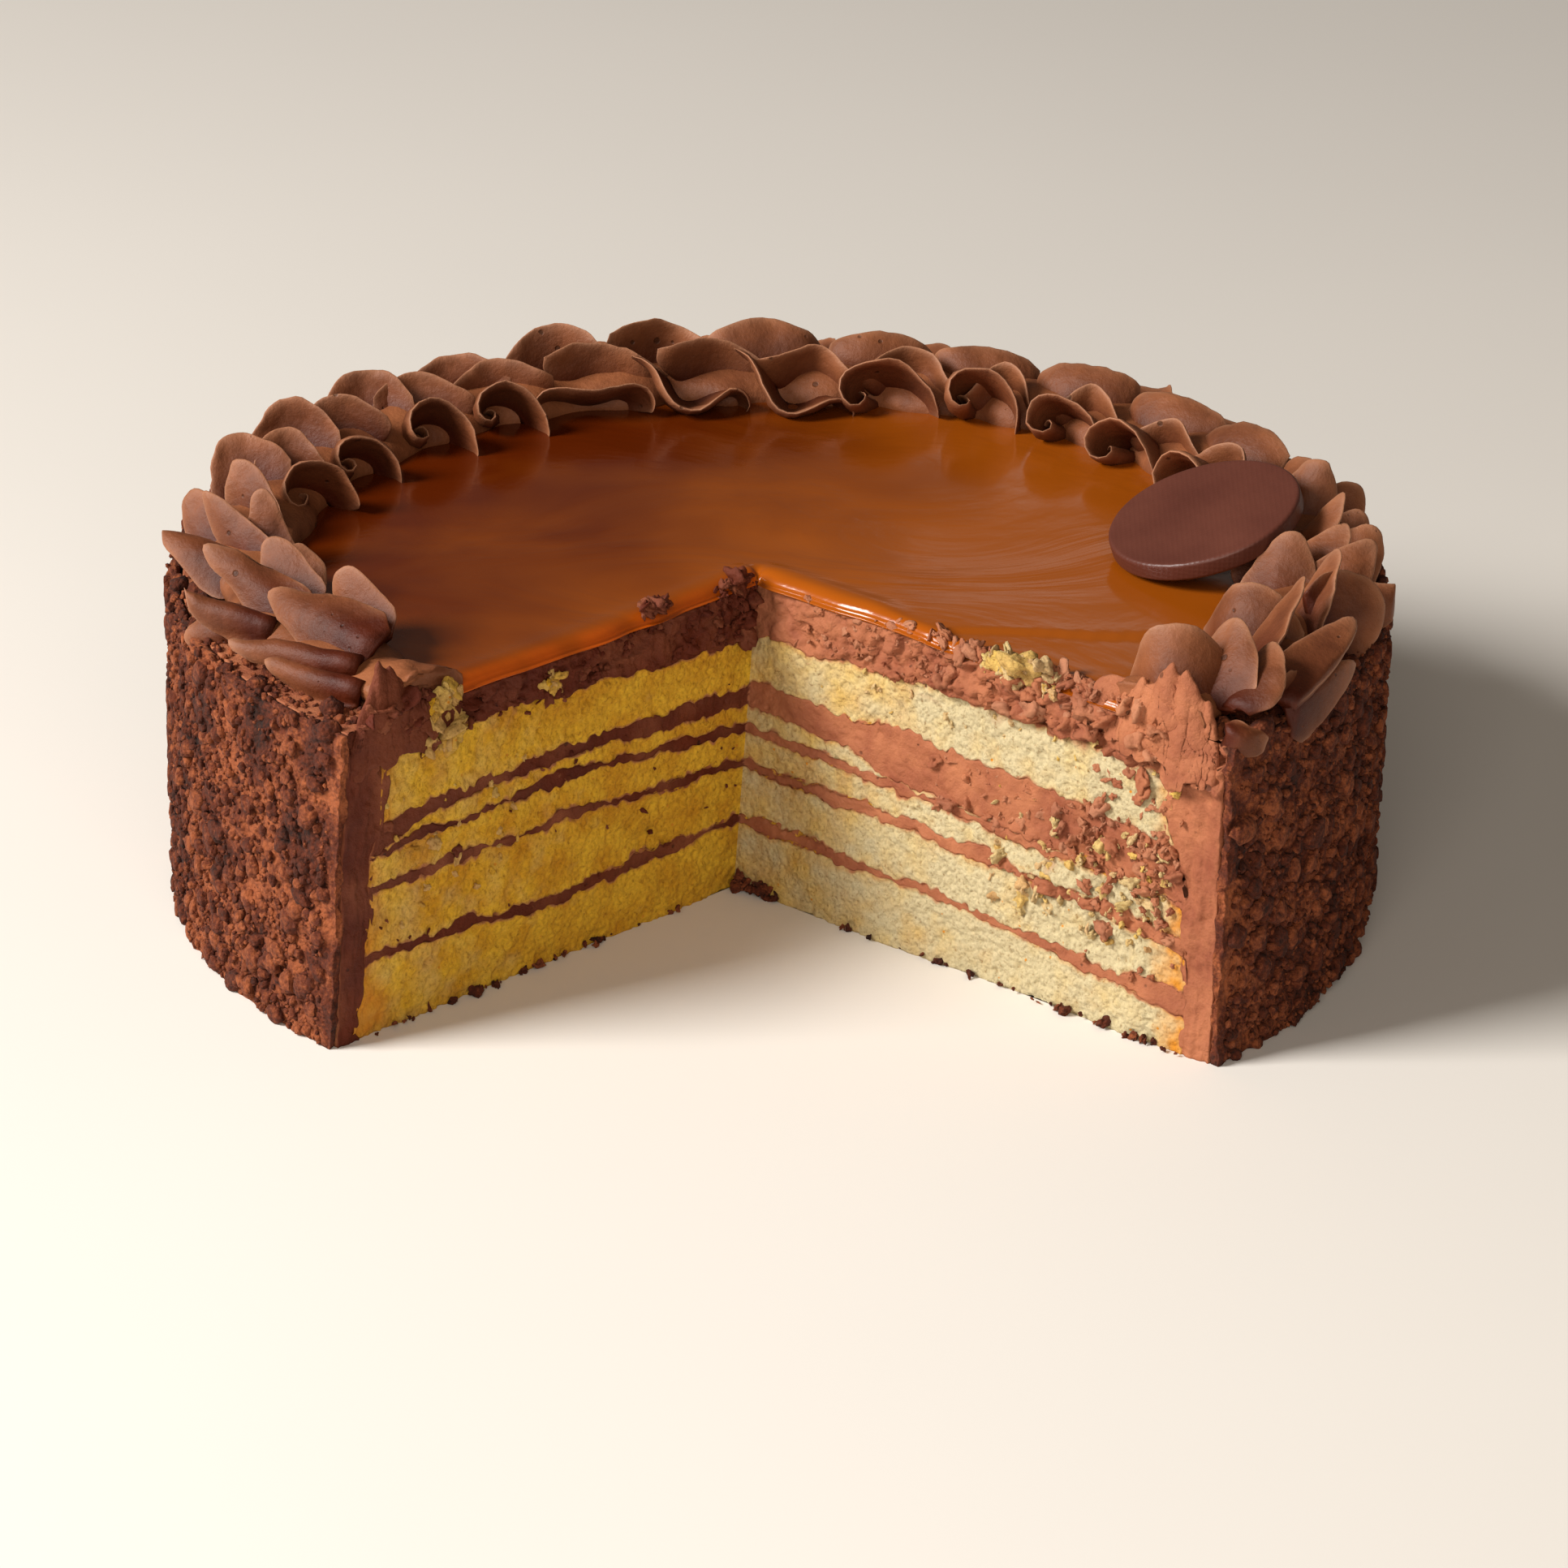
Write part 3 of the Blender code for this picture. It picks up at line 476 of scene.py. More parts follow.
def register_piece(piece, slot, *nodes):
    """The piece rides on the cake and stands for the solids named, which are hidden. Its slot is not
    used.
    """
    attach(piece, "root")
    if nodes:
        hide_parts(*nodes)


def lump_base(subdivisions):
    """Points and faces of an icosphere of radius 1."""
    ball = bmesh.new()
    bmesh.ops.create_icosphere(ball, subdivisions=subdivisions, radius=1.0)
    ball.verts.index_update()
    points = np.array([v.co[:] for v in ball.verts])
    faces = np.array([[v.index for v in f.verts] for f in ball.faces])
    ball.free()
    return points, faces


def lumps(centres, radii, seed, subdivisions=1, dent=0.35, stretch=0.35):
    """Joined rough lumps: each is an icosphere dented by noise, stretched along its own axes, turned
    at random, and moved to its centre. Gives points, faces and a random tone for each point."""
    rng = np.random.default_rng(seed)
    base, faces = lump_base(subdivisions)
    count = len(centres)
    quaternion = unit(rng.normal(size=(count, 4)))
    w, x, y, z = quaternion.T
    turned = np.stack([
        np.stack([1 - 2 * (y * y + z * z), 2 * (x * y - z * w), 2 * (x * z + y * w)], axis=-1),
        np.stack([2 * (x * y + z * w), 1 - 2 * (x * x + z * z), 2 * (y * z - x * w)], axis=-1),
        np.stack([2 * (x * z - y * w), 2 * (y * z + x * w), 1 - 2 * (x * x + y * y)], axis=-1),
    ], axis=-2)
    scale = rng.uniform(1 - stretch, 1 + stretch, (count, 1, 3)) * np.asarray(radii)[:, None, None]
    dents = 1.0 + dent * rough(1.4 * base + rng.uniform(0, 90, (count, 1, 3)), 1.0, seed, 2)
    points = np.einsum("nij,nkj->nki", turned, base * dents[..., None] * scale) + centres[:, None]
    all_faces = faces[None] + len(base) * np.arange(count)[:, None, None]
    tone = np.repeat(rng.uniform(0, 1, count), len(base))
    return points.reshape(-1, 3), all_faces.reshape(-1, 3).tolist(), tone


# ---------------------------------------------------------------- materials


def linear(hex_colour):
    """Linear colour of an sRGB hex value."""
    levels = [int(hex_colour[i : i + 2], 16) / 255 for i in (0, 2, 4)]
    return tuple(c / 12.92 if c <= 0.04045 else ((c + 0.055) / 1.055) ** 2.4 for c in levels)


def add_node(tree, kind, settings=None, links=None):
    """Adds a node, sets its properties or sockets by name or number, and links sockets to it. The
    setting called stops gives a ramp's (position, colour) pairs."""
    made = tree.nodes.new(kind)
    for key, value in (settings or {}).items():
        if key == "stops":
            ramp = made.color_ramp
            while len(ramp.elements) < len(value):
                ramp.elements.new(0.5)
            for element, (position, colour) in zip(ramp.elements, value):
                element.position = position
                element.color = tuple(colour) + (1.0,)
        elif isinstance(key, str) and hasattr(made, key):
            setattr(made, key, value)
        else:
            made.inputs[key].default_value = value
    for key, source in (links or {}).items():
        tree.links.new(source, made.inputs[key])
    return made


def new_material(name, settings):
    """A material with a Principled surface of those settings. Gives the material, its tree, the
    surface and the link that lays a texture out by Object coordinates."""
    made = bpy.data.materials.new(name)
    made.use_nodes = True
    tree = made.node_tree
    surface = tree.nodes["Principled BSDF"]
    for key, value in settings.items():
        surface.inputs[key].default_value = value
    coordinates = add_node(tree, "ShaderNodeTexCoord")
    return made, tree, surface, {"Vector": coordinates.outputs["Object"]}


def grey(level):
    """A grey ramp colour."""
    return (level, level, level)


def opaque(colour):
    """A colour for a socket, which has a fourth number."""
    return colour[:] + (1.0,)


def sponge_material(colours, sizes):
    """Baked egg sponge: dry, matte and full of fine pores, with painted shade in them, pale as painted
    light on the lit right cut face and in random patches, orange where it baked against the tin, and
    brown where cream was dragged over it."""
    made, tree, surface, where = new_material("baked_egg_sponge", {
        "Roughness": 0.92, "IOR": 1.4, "Subsurface Weight": 0.0,
    })
    pore = 1.0 / sizes.pore_size
    patches = add_node(tree, "ShaderNodeTexNoise", {
        "Scale": SPONGE_PATCHES, "Detail": 4.0, "Roughness": 0.6}, where)
    crumb = add_node(tree, "ShaderNodeTexNoise", {"Scale": pore, "Detail": 6.0, "Roughness": 0.75}, where)
    holes = add_node(tree, "ShaderNodeTexVoronoi", {"Scale": 0.8 * pore, "Randomness": 1.0}, where)
    specks = add_node(tree, "ShaderNodeTexVoronoi", {"Scale": SPONGE_SPECKS}, where)
    colour = add_node(tree, "ShaderNodeValToRGB", {"stops": [
        (0.3, colours.sponge_deep), (0.62, colours.sponge)]}, {"Fac": patches.outputs["Fac"]})
    # Painted light: the lit right cut face, and random patches, are mixed towards the pale colour.
    torn_open = add_node(tree, "ShaderNodeAttribute", {"attribute_name": "torn_open"})
    pale_light_share = add_node(tree, "ShaderNodeMath", {
        "operation": "MULTIPLY_ADD", 1: 1.2, 2: -0.25, "use_clamp": True}, {0: torn_open.outputs["Fac"]})
    paled = add_node(tree, "ShaderNodeMix", {"data_type": "RGBA", 7: opaque(colours.sponge_pale_and_lit)}, {
        0: pale_light_share.outputs[0], 6: colour.outputs["Color"]})
    # Painted shade: the low spots of the fine relief, the pores, are darkened and the high spots
    # lightened.
    dark = add_node(tree, "ShaderNodeValToRGB", {"stops": [
        (0.32, colours.sponge_pore_shade), (0.45, grey(0.9)), (0.66, grey(1.12))]}, {
        "Fac": crumb.outputs["Fac"]})
    shaded = add_node(tree, "ShaderNodeMix", {"data_type": "RGBA", "blend_type": "MULTIPLY", 0: 0.85}, {
        6: paled.outputs[2], 7: dark.outputs["Color"]})
    speck = add_node(tree, "ShaderNodeValToRGB", {"stops": [(0.07, grey(1.0)), (0.12, grey(0.0))]}, {
        "Fac": specks.outputs["Distance"]})
    lot = add_node(tree, "ShaderNodeMath", {"operation": "GREATER_THAN", 1: 0.62}, {
        0: specks.outputs["Color"]})
    speck_share = add_node(tree, "ShaderNodeMath", {"operation": "MULTIPLY"}, {
        0: speck.outputs["Color"], 1: lot.outputs[0]})
    speckled = add_node(tree, "ShaderNodeMix", {"data_type": "RGBA", 7: opaque(colours.sponge_browned)}, {
        0: speck_share.outputs[0], 6: shaded.outputs[2]})
    browned = add_node(tree, "ShaderNodeAttribute", {"attribute_name": "browned"})
    baked = add_node(tree, "ShaderNodeMix", {"data_type": "RGBA", 7: opaque(colours.sponge_browned)}, {
        0: browned.outputs["Fac"], 6: speckled.outputs[2]})
    stained = add_node(tree, "ShaderNodeAttribute", {"attribute_name": "stained"})
    final = add_node(tree, "ShaderNodeMix", {"data_type": "RGBA", 7: opaque(colours.cream)}, {
        0: stained.outputs["Fac"], 6: baked.outputs[2]})
    tree.links.new(final.outputs[2], surface.inputs["Base Color"])
    ground = add_node(tree, "ShaderNodeBump", {"Strength": 0.9, "Distance": 0.8 * MM}, {
        "Height": crumb.outputs["Fac"]})
    pitted = add_node(tree, "ShaderNodeBump", {"Strength": 0.7, "Distance": 0.5 * MM, "invert": True}, {
        "Height": holes.outputs["Distance"], "Normal": ground.outputs["Normal"]})
    tree.links.new(pitted.outputs["Normal"], surface.inputs["Normal"])
    return made


def cream_material(name, colours, sizes, light, dark, roughness, grain_depth):
    """Whipped chocolate buttercream: satin fat and sugar with tiny air bubbles that burst at the
    surface, with painted shade in their pits, painted light at thin edges, and painted shade in the folds
    of the piping and on the left cut face."""
    made, tree, surface, where = new_material(name, {
        "Roughness": roughness, "IOR": 1.45, "Specular IOR Level": 0.3,
    })
    tone = add_node(tree, "ShaderNodeTexNoise", {
        "Scale": CREAM_PATCHES, "Detail": 5.0, "Roughness": 0.6}, where)
    grain = add_node(tree, "ShaderNodeTexNoise", {
        "Scale": CREAM_GRAINS, "Detail": 6.0, "Roughness": 0.65}, where)
    bubbles = add_node(tree, "ShaderNodeTexVoronoi", {"Scale": 1.0 / sizes.bubble_spacing}, where)
    colour = add_node(tree, "ShaderNodeValToRGB", {"stops": [(0.32, dark), (0.68, light)]}, {
        "Fac": tone.outputs["Fac"]})
    lot = add_node(tree, "ShaderNodeMath", {"operation": "MULTIPLY_ADD", 1: 0.8}, {
        0: bubbles.outputs["Color"], 2: bubbles.outputs["Distance"]})
    # Painted shade: the bubble pits are darkened.
    pit_shade = add_node(tree, "ShaderNodeValToRGB", {"stops": [(0.24, grey(0.35)), (0.32, grey(1.0))]}, {
        "Fac": lot.outputs[0]})
    # Painted light: thin edges are drawn paler.
    thin = add_node(tree, "ShaderNodeAttribute", {"attribute_name": "thin"})
    paled = add_node(tree, "ShaderNodeMix", {"data_type": "RGBA", 7: opaque(colours.piping_edge_lit)}, {
        0: thin.outputs["Fac"], 6: colour.outputs["Color"]})
    # Painted shade, multiplied in by the attribute.
    moist = add_node(tree, "ShaderNodeAttribute", {"attribute_name": "moist"})
    shade_mixed = add_node(tree, "ShaderNodeMix", {
        "data_type": "RGBA", "blend_type": "MULTIPLY", 7: opaque(colours.moist)}, {
        0: moist.outputs["Fac"], 6: paled.outputs[2]})
    shaded = add_node(tree, "ShaderNodeMix", {"data_type": "RGBA", "blend_type": "MULTIPLY", 0: 0.85}, {
        6: shade_mixed.outputs[2], 7: pit_shade.outputs["Color"]})
    tree.links.new(shaded.outputs[2], surface.inputs["Base Color"])
    fine = add_node(tree, "ShaderNodeBump", {"Strength": 0.6, "Distance": grain_depth * MM}, {
        "Height": grain.outputs["Fac"]})
    pitted = add_node(tree, "ShaderNodeBump", {"Strength": 0.6, "Distance": 0.5 * MM}, {
        "Height": pit_shade.outputs["Color"], "Normal": fine.outputs["Normal"]})
    tree.links.new(pitted.outputs["Normal"], surface.inputs["Normal"])
    return made


def caramel_material(colours):
    """Poured caramel glaze: clear cooked sugar and butter with a wet gloss, with drawn-out flow marks and
    painted reflection, darker towards the left and back, and a painted orange glow along the cut edge."""
    made, tree, surface, where = new_material("poured_caramel", {
        "Roughness": 0.16, "IOR": 1.4, "Specular IOR Level": 0.5,
    })
    drawn = add_node(tree, "ShaderNodeMapping", {
        "Scale": (1.0, 1.5, 1.0), "Rotation": (0.0, 0.0, -0.5)}, where)
    along = {"Vector": drawn.outputs["Vector"]}
    flow = add_node(tree, "ShaderNodeTexNoise", {
        "Scale": CARAMEL_FLOW_MARKS, "Detail": 5.0, "Distortion": 1.6}, along)
    pooled = add_node(tree, "ShaderNodeAttribute", {"attribute_name": "pooled"})
    caramel_darkness = add_node(tree, "ShaderNodeMath", {"operation": "MULTIPLY_ADD", 1: 0.4}, {
        0: flow.outputs["Fac"], 2: pooled.outputs["Fac"]})
    colour = add_node(tree, "ShaderNodeValToRGB", {"stops": [
        (0.3, colours.caramel), (0.9, colours.caramel_dark)]}, {"Fac": caramel_darkness.outputs[0]})
    lit_edge = add_node(tree, "ShaderNodeAttribute", {"attribute_name": "lit_edge"})
    glowing = add_node(tree, "ShaderNodeMix", {"data_type": "RGBA", 7: opaque(colours.caramel_edge)}, {
        0: lit_edge.outputs["Fac"], 6: colour.outputs["Color"]})
    tree.links.new(glowing.outputs[2], surface.inputs["Base Color"])
    swell = add_node(tree, "ShaderNodeTexNoise", {"Scale": CARAMEL_SWELLS, "Detail": 1.0}, along)
    ripple = add_node(tree, "ShaderNodeBump", {"Strength": 0.16, "Distance": 4.0 * MM}, {
        "Height": flow.outputs["Fac"]})
    dimpled = add_node(tree, "ShaderNodeBump", {"Strength": 0.12, "Distance": 1.2 * MM}, {
        "Height": swell.outputs["Fac"], "Normal": ripple.outputs["Normal"]})
    tree.links.new(dimpled.outputs["Normal"], surface.inputs["Normal"])
    return made


def crumb_material(colours):
    """Chocolate cake crumbs: dry and rough, each a little lighter or darker than the next."""
    made, tree, surface, where = new_material("chocolate_cake_crumbs", {"Roughness": 0.95, "IOR": 1.4})
    tone = add_node(tree, "ShaderNodeAttribute", {"attribute_name": "tone"})
    grain = add_node(tree, "ShaderNodeTexNoise", {
        "Scale": CRUMB_GRAINS, "Detail": 5.0, "Roughness": 0.7}, where)
    granules = add_node(tree, "ShaderNodeTexVoronoi", {"Scale": CRUMB_GRANULES}, where)
    mixed = add_node(tree, "ShaderNodeMath", {"operation": "MULTIPLY_ADD", 1: 0.5}, {
        0: tone.outputs["Fac"], 2: grain.outputs["Fac"]})
    colour = add_node(tree, "ShaderNodeValToRGB", {"stops": [
        (0.42, colours.crumb_dark), (0.72, colours.crumb), (0.98, colours.crumb_pale)]}, {
        "Fac": mixed.outputs[0]})
    tree.links.new(colour.outputs["Color"], surface.inputs["Base Color"])
    bump = add_node(tree, "ShaderNodeBump", {"Strength": 0.8, "Distance": 0.8 * MM}, {
        "Height": grain.outputs["Fac"]})
    granular = add_node(tree, "ShaderNodeBump", {"Strength": 0.7, "Distance": 0.8 * MM, "invert": True}, {
        "Height": granules.outputs["Distance"], "Normal": bump.outputs["Normal"]})
    tree.links.new(granular.outputs["Normal"], surface.inputs["Normal"])
    return made


def chocolate_material(colours):
    """Tempered dark chocolate, moulded: satin, with the faint rows of dots of the mould."""
    made, tree, surface, where = new_material("tempered_dark_chocolate", {"Roughness": 0.42, "IOR": 1.46})
    tone = add_node(tree, "ShaderNodeTexNoise", {"Scale": CHOCOLATE_BLOOMS, "Detail": 4.0}, where)
    dots = add_node(tree, "ShaderNodeTexVoronoi", {"Scale": MOULD_DOTS, "Randomness": 0.0}, where)
    colour = add_node(tree, "ShaderNodeValToRGB", {"stops": [
        (0.3, colours.chocolate), (0.75, colours.chocolate_pale)]}, {"Fac": tone.outputs["Fac"]})
    tree.links.new(colour.outputs["Color"], surface.inputs["Base Color"])
    bump = add_node(tree, "ShaderNodeBump", {"Strength": 0.35, "Distance": 0.2 * MM}, {
        "Height": dots.outputs["Distance"]})
    tree.links.new(bump.outputs["Normal"], surface.inputs["Normal"])
    return made


def floor_material(colours):
    """Plain painted board: pale and matte."""
    made, tree, surface, where = new_material("painted_board", {"Roughness": 0.8})
    tone = add_node(tree, "ShaderNodeTexNoise", {"Scale": FLOOR_MOTTLES, "Detail": 3.0}, where)
    colour = add_node(tree, "ShaderNodeValToRGB", {"stops": [
        (0.3, [0.97 * c for c in colours.floor]), (0.7, colours.floor[:])]}, {"Fac": tone.outputs["Fac"]})
    tree.links.new(colour.outputs["Color"], surface.inputs["Base Color"])
    return made


def material(name, maker, *settings):
    """The material of that name, made the first time it is asked for."""
    found = bpy.data.materials.get(name)
    return found if found else maker(*settings)


def cream_of(context, kind):
    """The buttercream of the piping, or that of the cut filling and coat, which is rougher: its last
    two settings are how rough it is and how deep its grain is, in millimetres."""
    colours, sizes = context.scene.torte_colours, context.scene.torte_sizes
    if kind == "piped":
        return material("piped_buttercream", cream_material, "piped_buttercream", colours, sizes,
                        colours.piping, colours.piping_deep, 0.5, 0.5)
    return material("cut_buttercream", cream_material, "cut_buttercream", colours, sizes,
                    colours.cream, colours.cream_deep, 0.68, 1.2)


# ---------------------------------------------------------------- shapes of the pieces


def face_unevenness(points):
    """Slow waves of both cut faces, in millimetres."""
    return plus_noises(0.0, points, FACE_NOISES)


def raised(points, relief, side, reach, height):
    """Points on the cut faces are moved off them by the relief, and the rest stay."""
    move = relief[..., None] * into_slice(side, reach, height)
    return points + np.where((side != 0)[..., None], move, 0.0)


def torn(reach, height, side):
    """How torn a cut face is, from 0 to 1: on the right the top cream all along and the thin layers
    near the rim, and on the left the top cream, half as much."""
    top = step_up(height, 55.0, 59.0) * (0.35 + 0.65 * step_up(reach, 20.0, 50.0))
    middle = np.exp(-(((reach - 88.0) / 20.0) ** 2) - ((height - 27.0) / 9.0) ** 2)
    left_top = 0.5 * step_up(height, 56.0, 60.0) * step_up(reach, 4.0, 20.0)
    return np.where(side > 0, np.maximum(top, middle), left_top)


def sponge_relief(points, reach, height, side):
    """Relief of cut sponge: two sizes of roughness, and holes where a scattered seed is near."""
    distance, lot = nearest_seed(points, SPONGE_HOLES, 81)
    hole = np.clip(1.0 - distance / (0.30 + 0.15 * lot), 0.0, 1.0) * (lot > 0.55)
    tear = torn(reach, height, side)
    crumb = plus_noises(0.0, points, SPONGE_NOISES)
    return (
        face_unevenness(points) + crumb * np.where(side < 0, 1.3, 1.1)
        - 0.9 * hole + 1.3 * tear * rough(points, 4.0, 84)
    )


def cream_relief(points, reach, height, side):
    """Relief of cut buttercream: grainy with a few pits, and craggy where it is torn: flat flakes of
    scattered sizes stand out by different amounts."""
    distance, lot = nearest_seed(points, CREAM_PITS, 91)
    hole = np.clip(1.0 - distance / 0.28, 0.0, 1.0) * (lot > 0.6)
    tear = torn(reach, height, side)
    flakes, stand_out = nearest_seed(points + 2.2 * noise(points, 3.4, 96)[..., None], CREAM_FLAKES, 93)
    chips, chip_out = nearest_seed(points + 1.2 * noise(points, 1.8, 97)[..., None], CREAM_CHIPS, 98)
    grainy = plus_noises(face_unevenness(points), points, CREAM_NOISES)
    craggy = 3.4 * stand_out - 0.7 * flakes + 1.5 * chip_out - 0.8 * chips
    craggy = craggy + 0.7 * rough(points, 2.0, 94) - 1.4
    return grainy - 0.8 * hole + tear * craggy


def layer_piece(index, cut_material):
    """A sponge or cream layer. Its stations run from the point of the cut to the ragged end of the
    sponge, its rows from the surface below to the surface above."""
    name, thicknesses = LAYERS[index]
    stations = even_steps(SPONGE_RADIUS, CUT_STEP)
    rows = even_steps(max(thicknesses), CUT_STEP)
    sweeps = hidden_sweeps()
    station, row, sweep, side = sector_loop(stations, rows, sweeps, 1)
    nominal = layer_heights(sweep, station * SPONGE_RADIUS)
    level = nominal[index] + row * (nominal[index + 1] - nominal[index])
    reach = station * sponge_end(sweep, level)
    surfaces = layer_heights(sweep, reach)
    low, high = surfaces[index], surfaces[index + 1]
    height = low + row * (high - low)
    points = place(sweep, reach, height)
    sponge = name.startswith("sponge")
    relief = (sponge_relief if sponge else cream_relief)(points, reach, height, side)
    points = raised(points, relief, side, reach, height)
    points[..., 2] = np.maximum(points[..., 2], 0.0)
    # Painted shade on the left cut face of the cut cream.
    attributes = {"moist": painted_shade_share(points, side)}
    if sponge:
        attributes = sponge_attributes(points, reach, height, low, high, side)
    faces = sector_faces(len(stations), len(rows), len(sweeps), 1, [-1])
    return make_piece(f"{name}_cut", points, faces, cut_material, attributes)


def sponge_attributes(points, reach, height, low, high, side):
    """How stained with cream, how browned and how pale the sponge is, from 0 to 1. Stains fade
    from the surfaces that touch cream, and browning from the end that baked against the tin. The right
    face is pale all along as painted light, and the left one only a little, more towards the rim and in
    random patches."""
    to_cream = np.minimum(np.where(low > 0.01, height - low, 9.0), high - height)
    stain = step_up(0.55 * rough(points, 2.2, 101) - to_cream, -0.45, 0.25)
    drag = step_up(noise(points, 5.0, 104), 0.35, 0.7) * torn(reach, height, side) * 0.8
    end = SPONGE_RADIUS - reach
    brown = step_up(3.6 * rough(points, 7.0, 102) + 4.0 - end, -4.0, 5.0)
    brown = brown * (0.85 + 0.3 * noise(points, 1.6, 108))
    crust = step_up(0.6 * noise(points, 3.0, 103) + 0.5 - (high - height), -0.6, 0.6) * 0.35
    # Painted light: the lit right cut face is drawn pale all along.
    right_face_lit = 0.68 + 0.32 * step_up(reach, 8.0, 65.0) + 0.2 * rough(points, 5.0, 105)
    pale_amount = np.where(side > 0, right_face_lit, 0.003 * reach + 0.12 * rough(points, 4.0, 106))
    return {
        "stained": np.clip(np.maximum(stain, drag), 0, 1),
        "browned": np.clip(brown + crust, 0, 1),
        "torn_open": np.clip(pale_amount, 0, 1),
    }


def painted_shade_share(points, side):
    """Painted shade of cut cream, from 0 to 1: the left cut face is drawn darker, with slow random
    variation.
    """
    return np.clip((side < 0) * (0.85 + 0.3 * noise(points, 8.0, 107)), 0.0, 1.0)


def coat_piece(cut_material):
    """Top cream and side coat in one. Its stations run from 0 at the point of the cut over 1 at the
    top corner to 2 at the floor, its rows from the sponge to the outside."""
    rows = even_steps(TOP_CREAM_DEPTH, CUT_STEP)
    down = 1.0 + even_steps(COAT_TOP, CUT_STEP)[1:]
    stations = np.concatenate([even_steps(WALL_RADIUS, CUT_STEP), down])
    sweeps = hidden_sweeps()
    station, row, sweep, side = sector_loop(stations, rows, sweeps, 1)
    top_index = len(LAYERS) - 1
    along = np.minimum(station, 1.0)
    fall = np.maximum(station - 1.0, 0.0)
    shelf = layer_heights(sweep, along * SPONGE_RADIUS)[top_index]
    inner_height = shelf * (1.0 - fall)
    inner_reach = along * (sponge_end(sweep, inner_height) - OVERLAP)
    inner_height = np.where(station <= 1.0, layer_heights(sweep, inner_reach)[top_index], inner_height)
    outer_height = COAT_TOP * (1.0 - fall)
    outer_reach = along * WALL_RADIUS
    reach = inner_reach + row * (outer_reach - inner_reach)
    height = inner_height + row * (outer_height - inner_height)
    points = place(sweep, reach, height)
    streaks = 0.5 * rough(points * np.array([1.0, 1.0, 0.2]), 2.6, 111) * step_up(station, 0.9, 1.1)
    relief = cream_relief(points, reach, height, side) + streaks
    points = raised(points, relief, side, reach, height)
    points[..., 2] = np.maximum(points[..., 2], 0.0)
    faces = sector_faces(len(stations), len(rows), len(sweeps), 1, [-1])
    return make_piece("coat_cut", points, faces, cut_material, {"moist": painted_shade_share(points, side)})


def caramel_surface(points, sweep, reach):
    """Height of the top of the caramel: slow waves, a bead along the cut that ends where the cream
    covers it, and a low lip where a second run of caramel ended near the front right."""
    edge, side = distance_to_cut(points)
    wave = 0.25 * np.sin(9.0 * sweep + reach / 17.0) - 0.25 + 0.12 * noise(points, 30.0, 121)
    x, y = points[..., 0], points[..., 1]
    lip_line = CARAMEL_LIP + 0.6 * np.sin(x / 6.0)
    lip = 0.45 * step_up(lip_line - y, -0.5, 0.5) * step_up(x, 26.0, 34.0)
    uncovered = np.where(side > 0, 1.0 - step_up(reach, 28.0, 40.0), 1.0)
    bead = 0.4 * np.exp(-(((edge - 3.2) / 2.4) ** 2)) * uncovered
    inside = np.clip(CARAMEL_EDGE - edge, 0.0, CARAMEL_EDGE)
    drop = CARAMEL_EDGE - np.sqrt(CARAMEL_EDGE**2 - inside**2)
    return CAKE_HEIGHT + wave - lip + bead - 0.9 * drop


def caramel_piece(glaze):
    """The caramel glaze: a thin sector whose top is fine enough for its waves, with a rounded edge
    that bulges a little over the cut."""
    radius = CARAMEL_RADIUS + CARAMEL_UNDER
    stations = even_steps(radius, CARAMEL_STEP)
    rows = even_steps(CARAMEL_THICKNESS, CUT_STEP)
    sweeps = fine_sweeps(CARAMEL_RADIUS, CARAMEL_ARC_STEP, CARAMEL_FIRST_STEP)
    station, row, sweep, side = sector_loop(stations, rows, sweeps, 1)
    reach = station * radius
    flat = place(sweep, reach, np.full(reach.shape, CAKE_HEIGHT))
    top = caramel_surface(flat, sweep, reach)
    bottom = COAT_TOP + CREAM_CLEAR
    height = bottom + row * (top - bottom)
    points = place(sweep, reach, height)
    edge, near = distance_to_cut(points)
    bulge = 0.8 * np.sin(np.pi * row) * (side != 0)
    bulge = bulge + (0.5 + 1.1 * noise(flat, 11.0, 122)) * np.exp(-edge / 3.0)
    points = points + bulge[..., None] * into_slice(near, reach, height)
    # Painted reflection: darker towards the left and back and lighter towards the right front, over
    # random patches.
    pooled = 0.27 + (0.6 * flat[..., 1] - 1.2 * flat[..., 0]) / 210.0 + 0.15 * rough(flat, 32.0, 123)
    # Painted light: an orange glow along the left cut edge, faint on the right.
    lit = np.where(near > 0, 0.1, 1.0) * (0.8 + 0.4 * noise(flat, 6.0, 124))
    lit_edge = np.exp(-((edge / 1.5) ** 2)) * lit
    attributes = {"pooled": np.clip(pooled, 0.0, 1.0), "lit_edge": np.clip(lit_edge, 0.0, 1.0)}
    faces = sector_faces(len(stations), len(rows), len(sweeps), 1, [-1])
    return make_piece("caramel_poured", points, faces, glaze, attributes)


def crumb_bumps(points):
    """Relief of pressed crumbs, in millimetres: rounded lumps about scattered seeds, in two sizes,
    over slow hollows."""
    big, lot = nearest_seed(points, BIG_LUMPS, 131)
    small, _ = nearest_seed(points, SMALL_LUMPS, 135)
    lump = 1.3 * (1.0 - np.clip(big, 0, 1) ** 2) * (0.3 + lot)
    return lump + 0.7 * (1.0 - np.clip(small, 0, 1) ** 2) + 0.6 * noise(points, 11.0, 138) - 1.2


def pressed_in(points):
    """What stands out past the rim is pressed back towards it."""
    radius = np.maximum(np.hypot(points[..., 0], points[..., 1]), 1.0)
    pressed = points.copy()
    pressed[..., :2] *= (eased(radius, *RIM_EASE) / radius)[..., None]
    return pressed


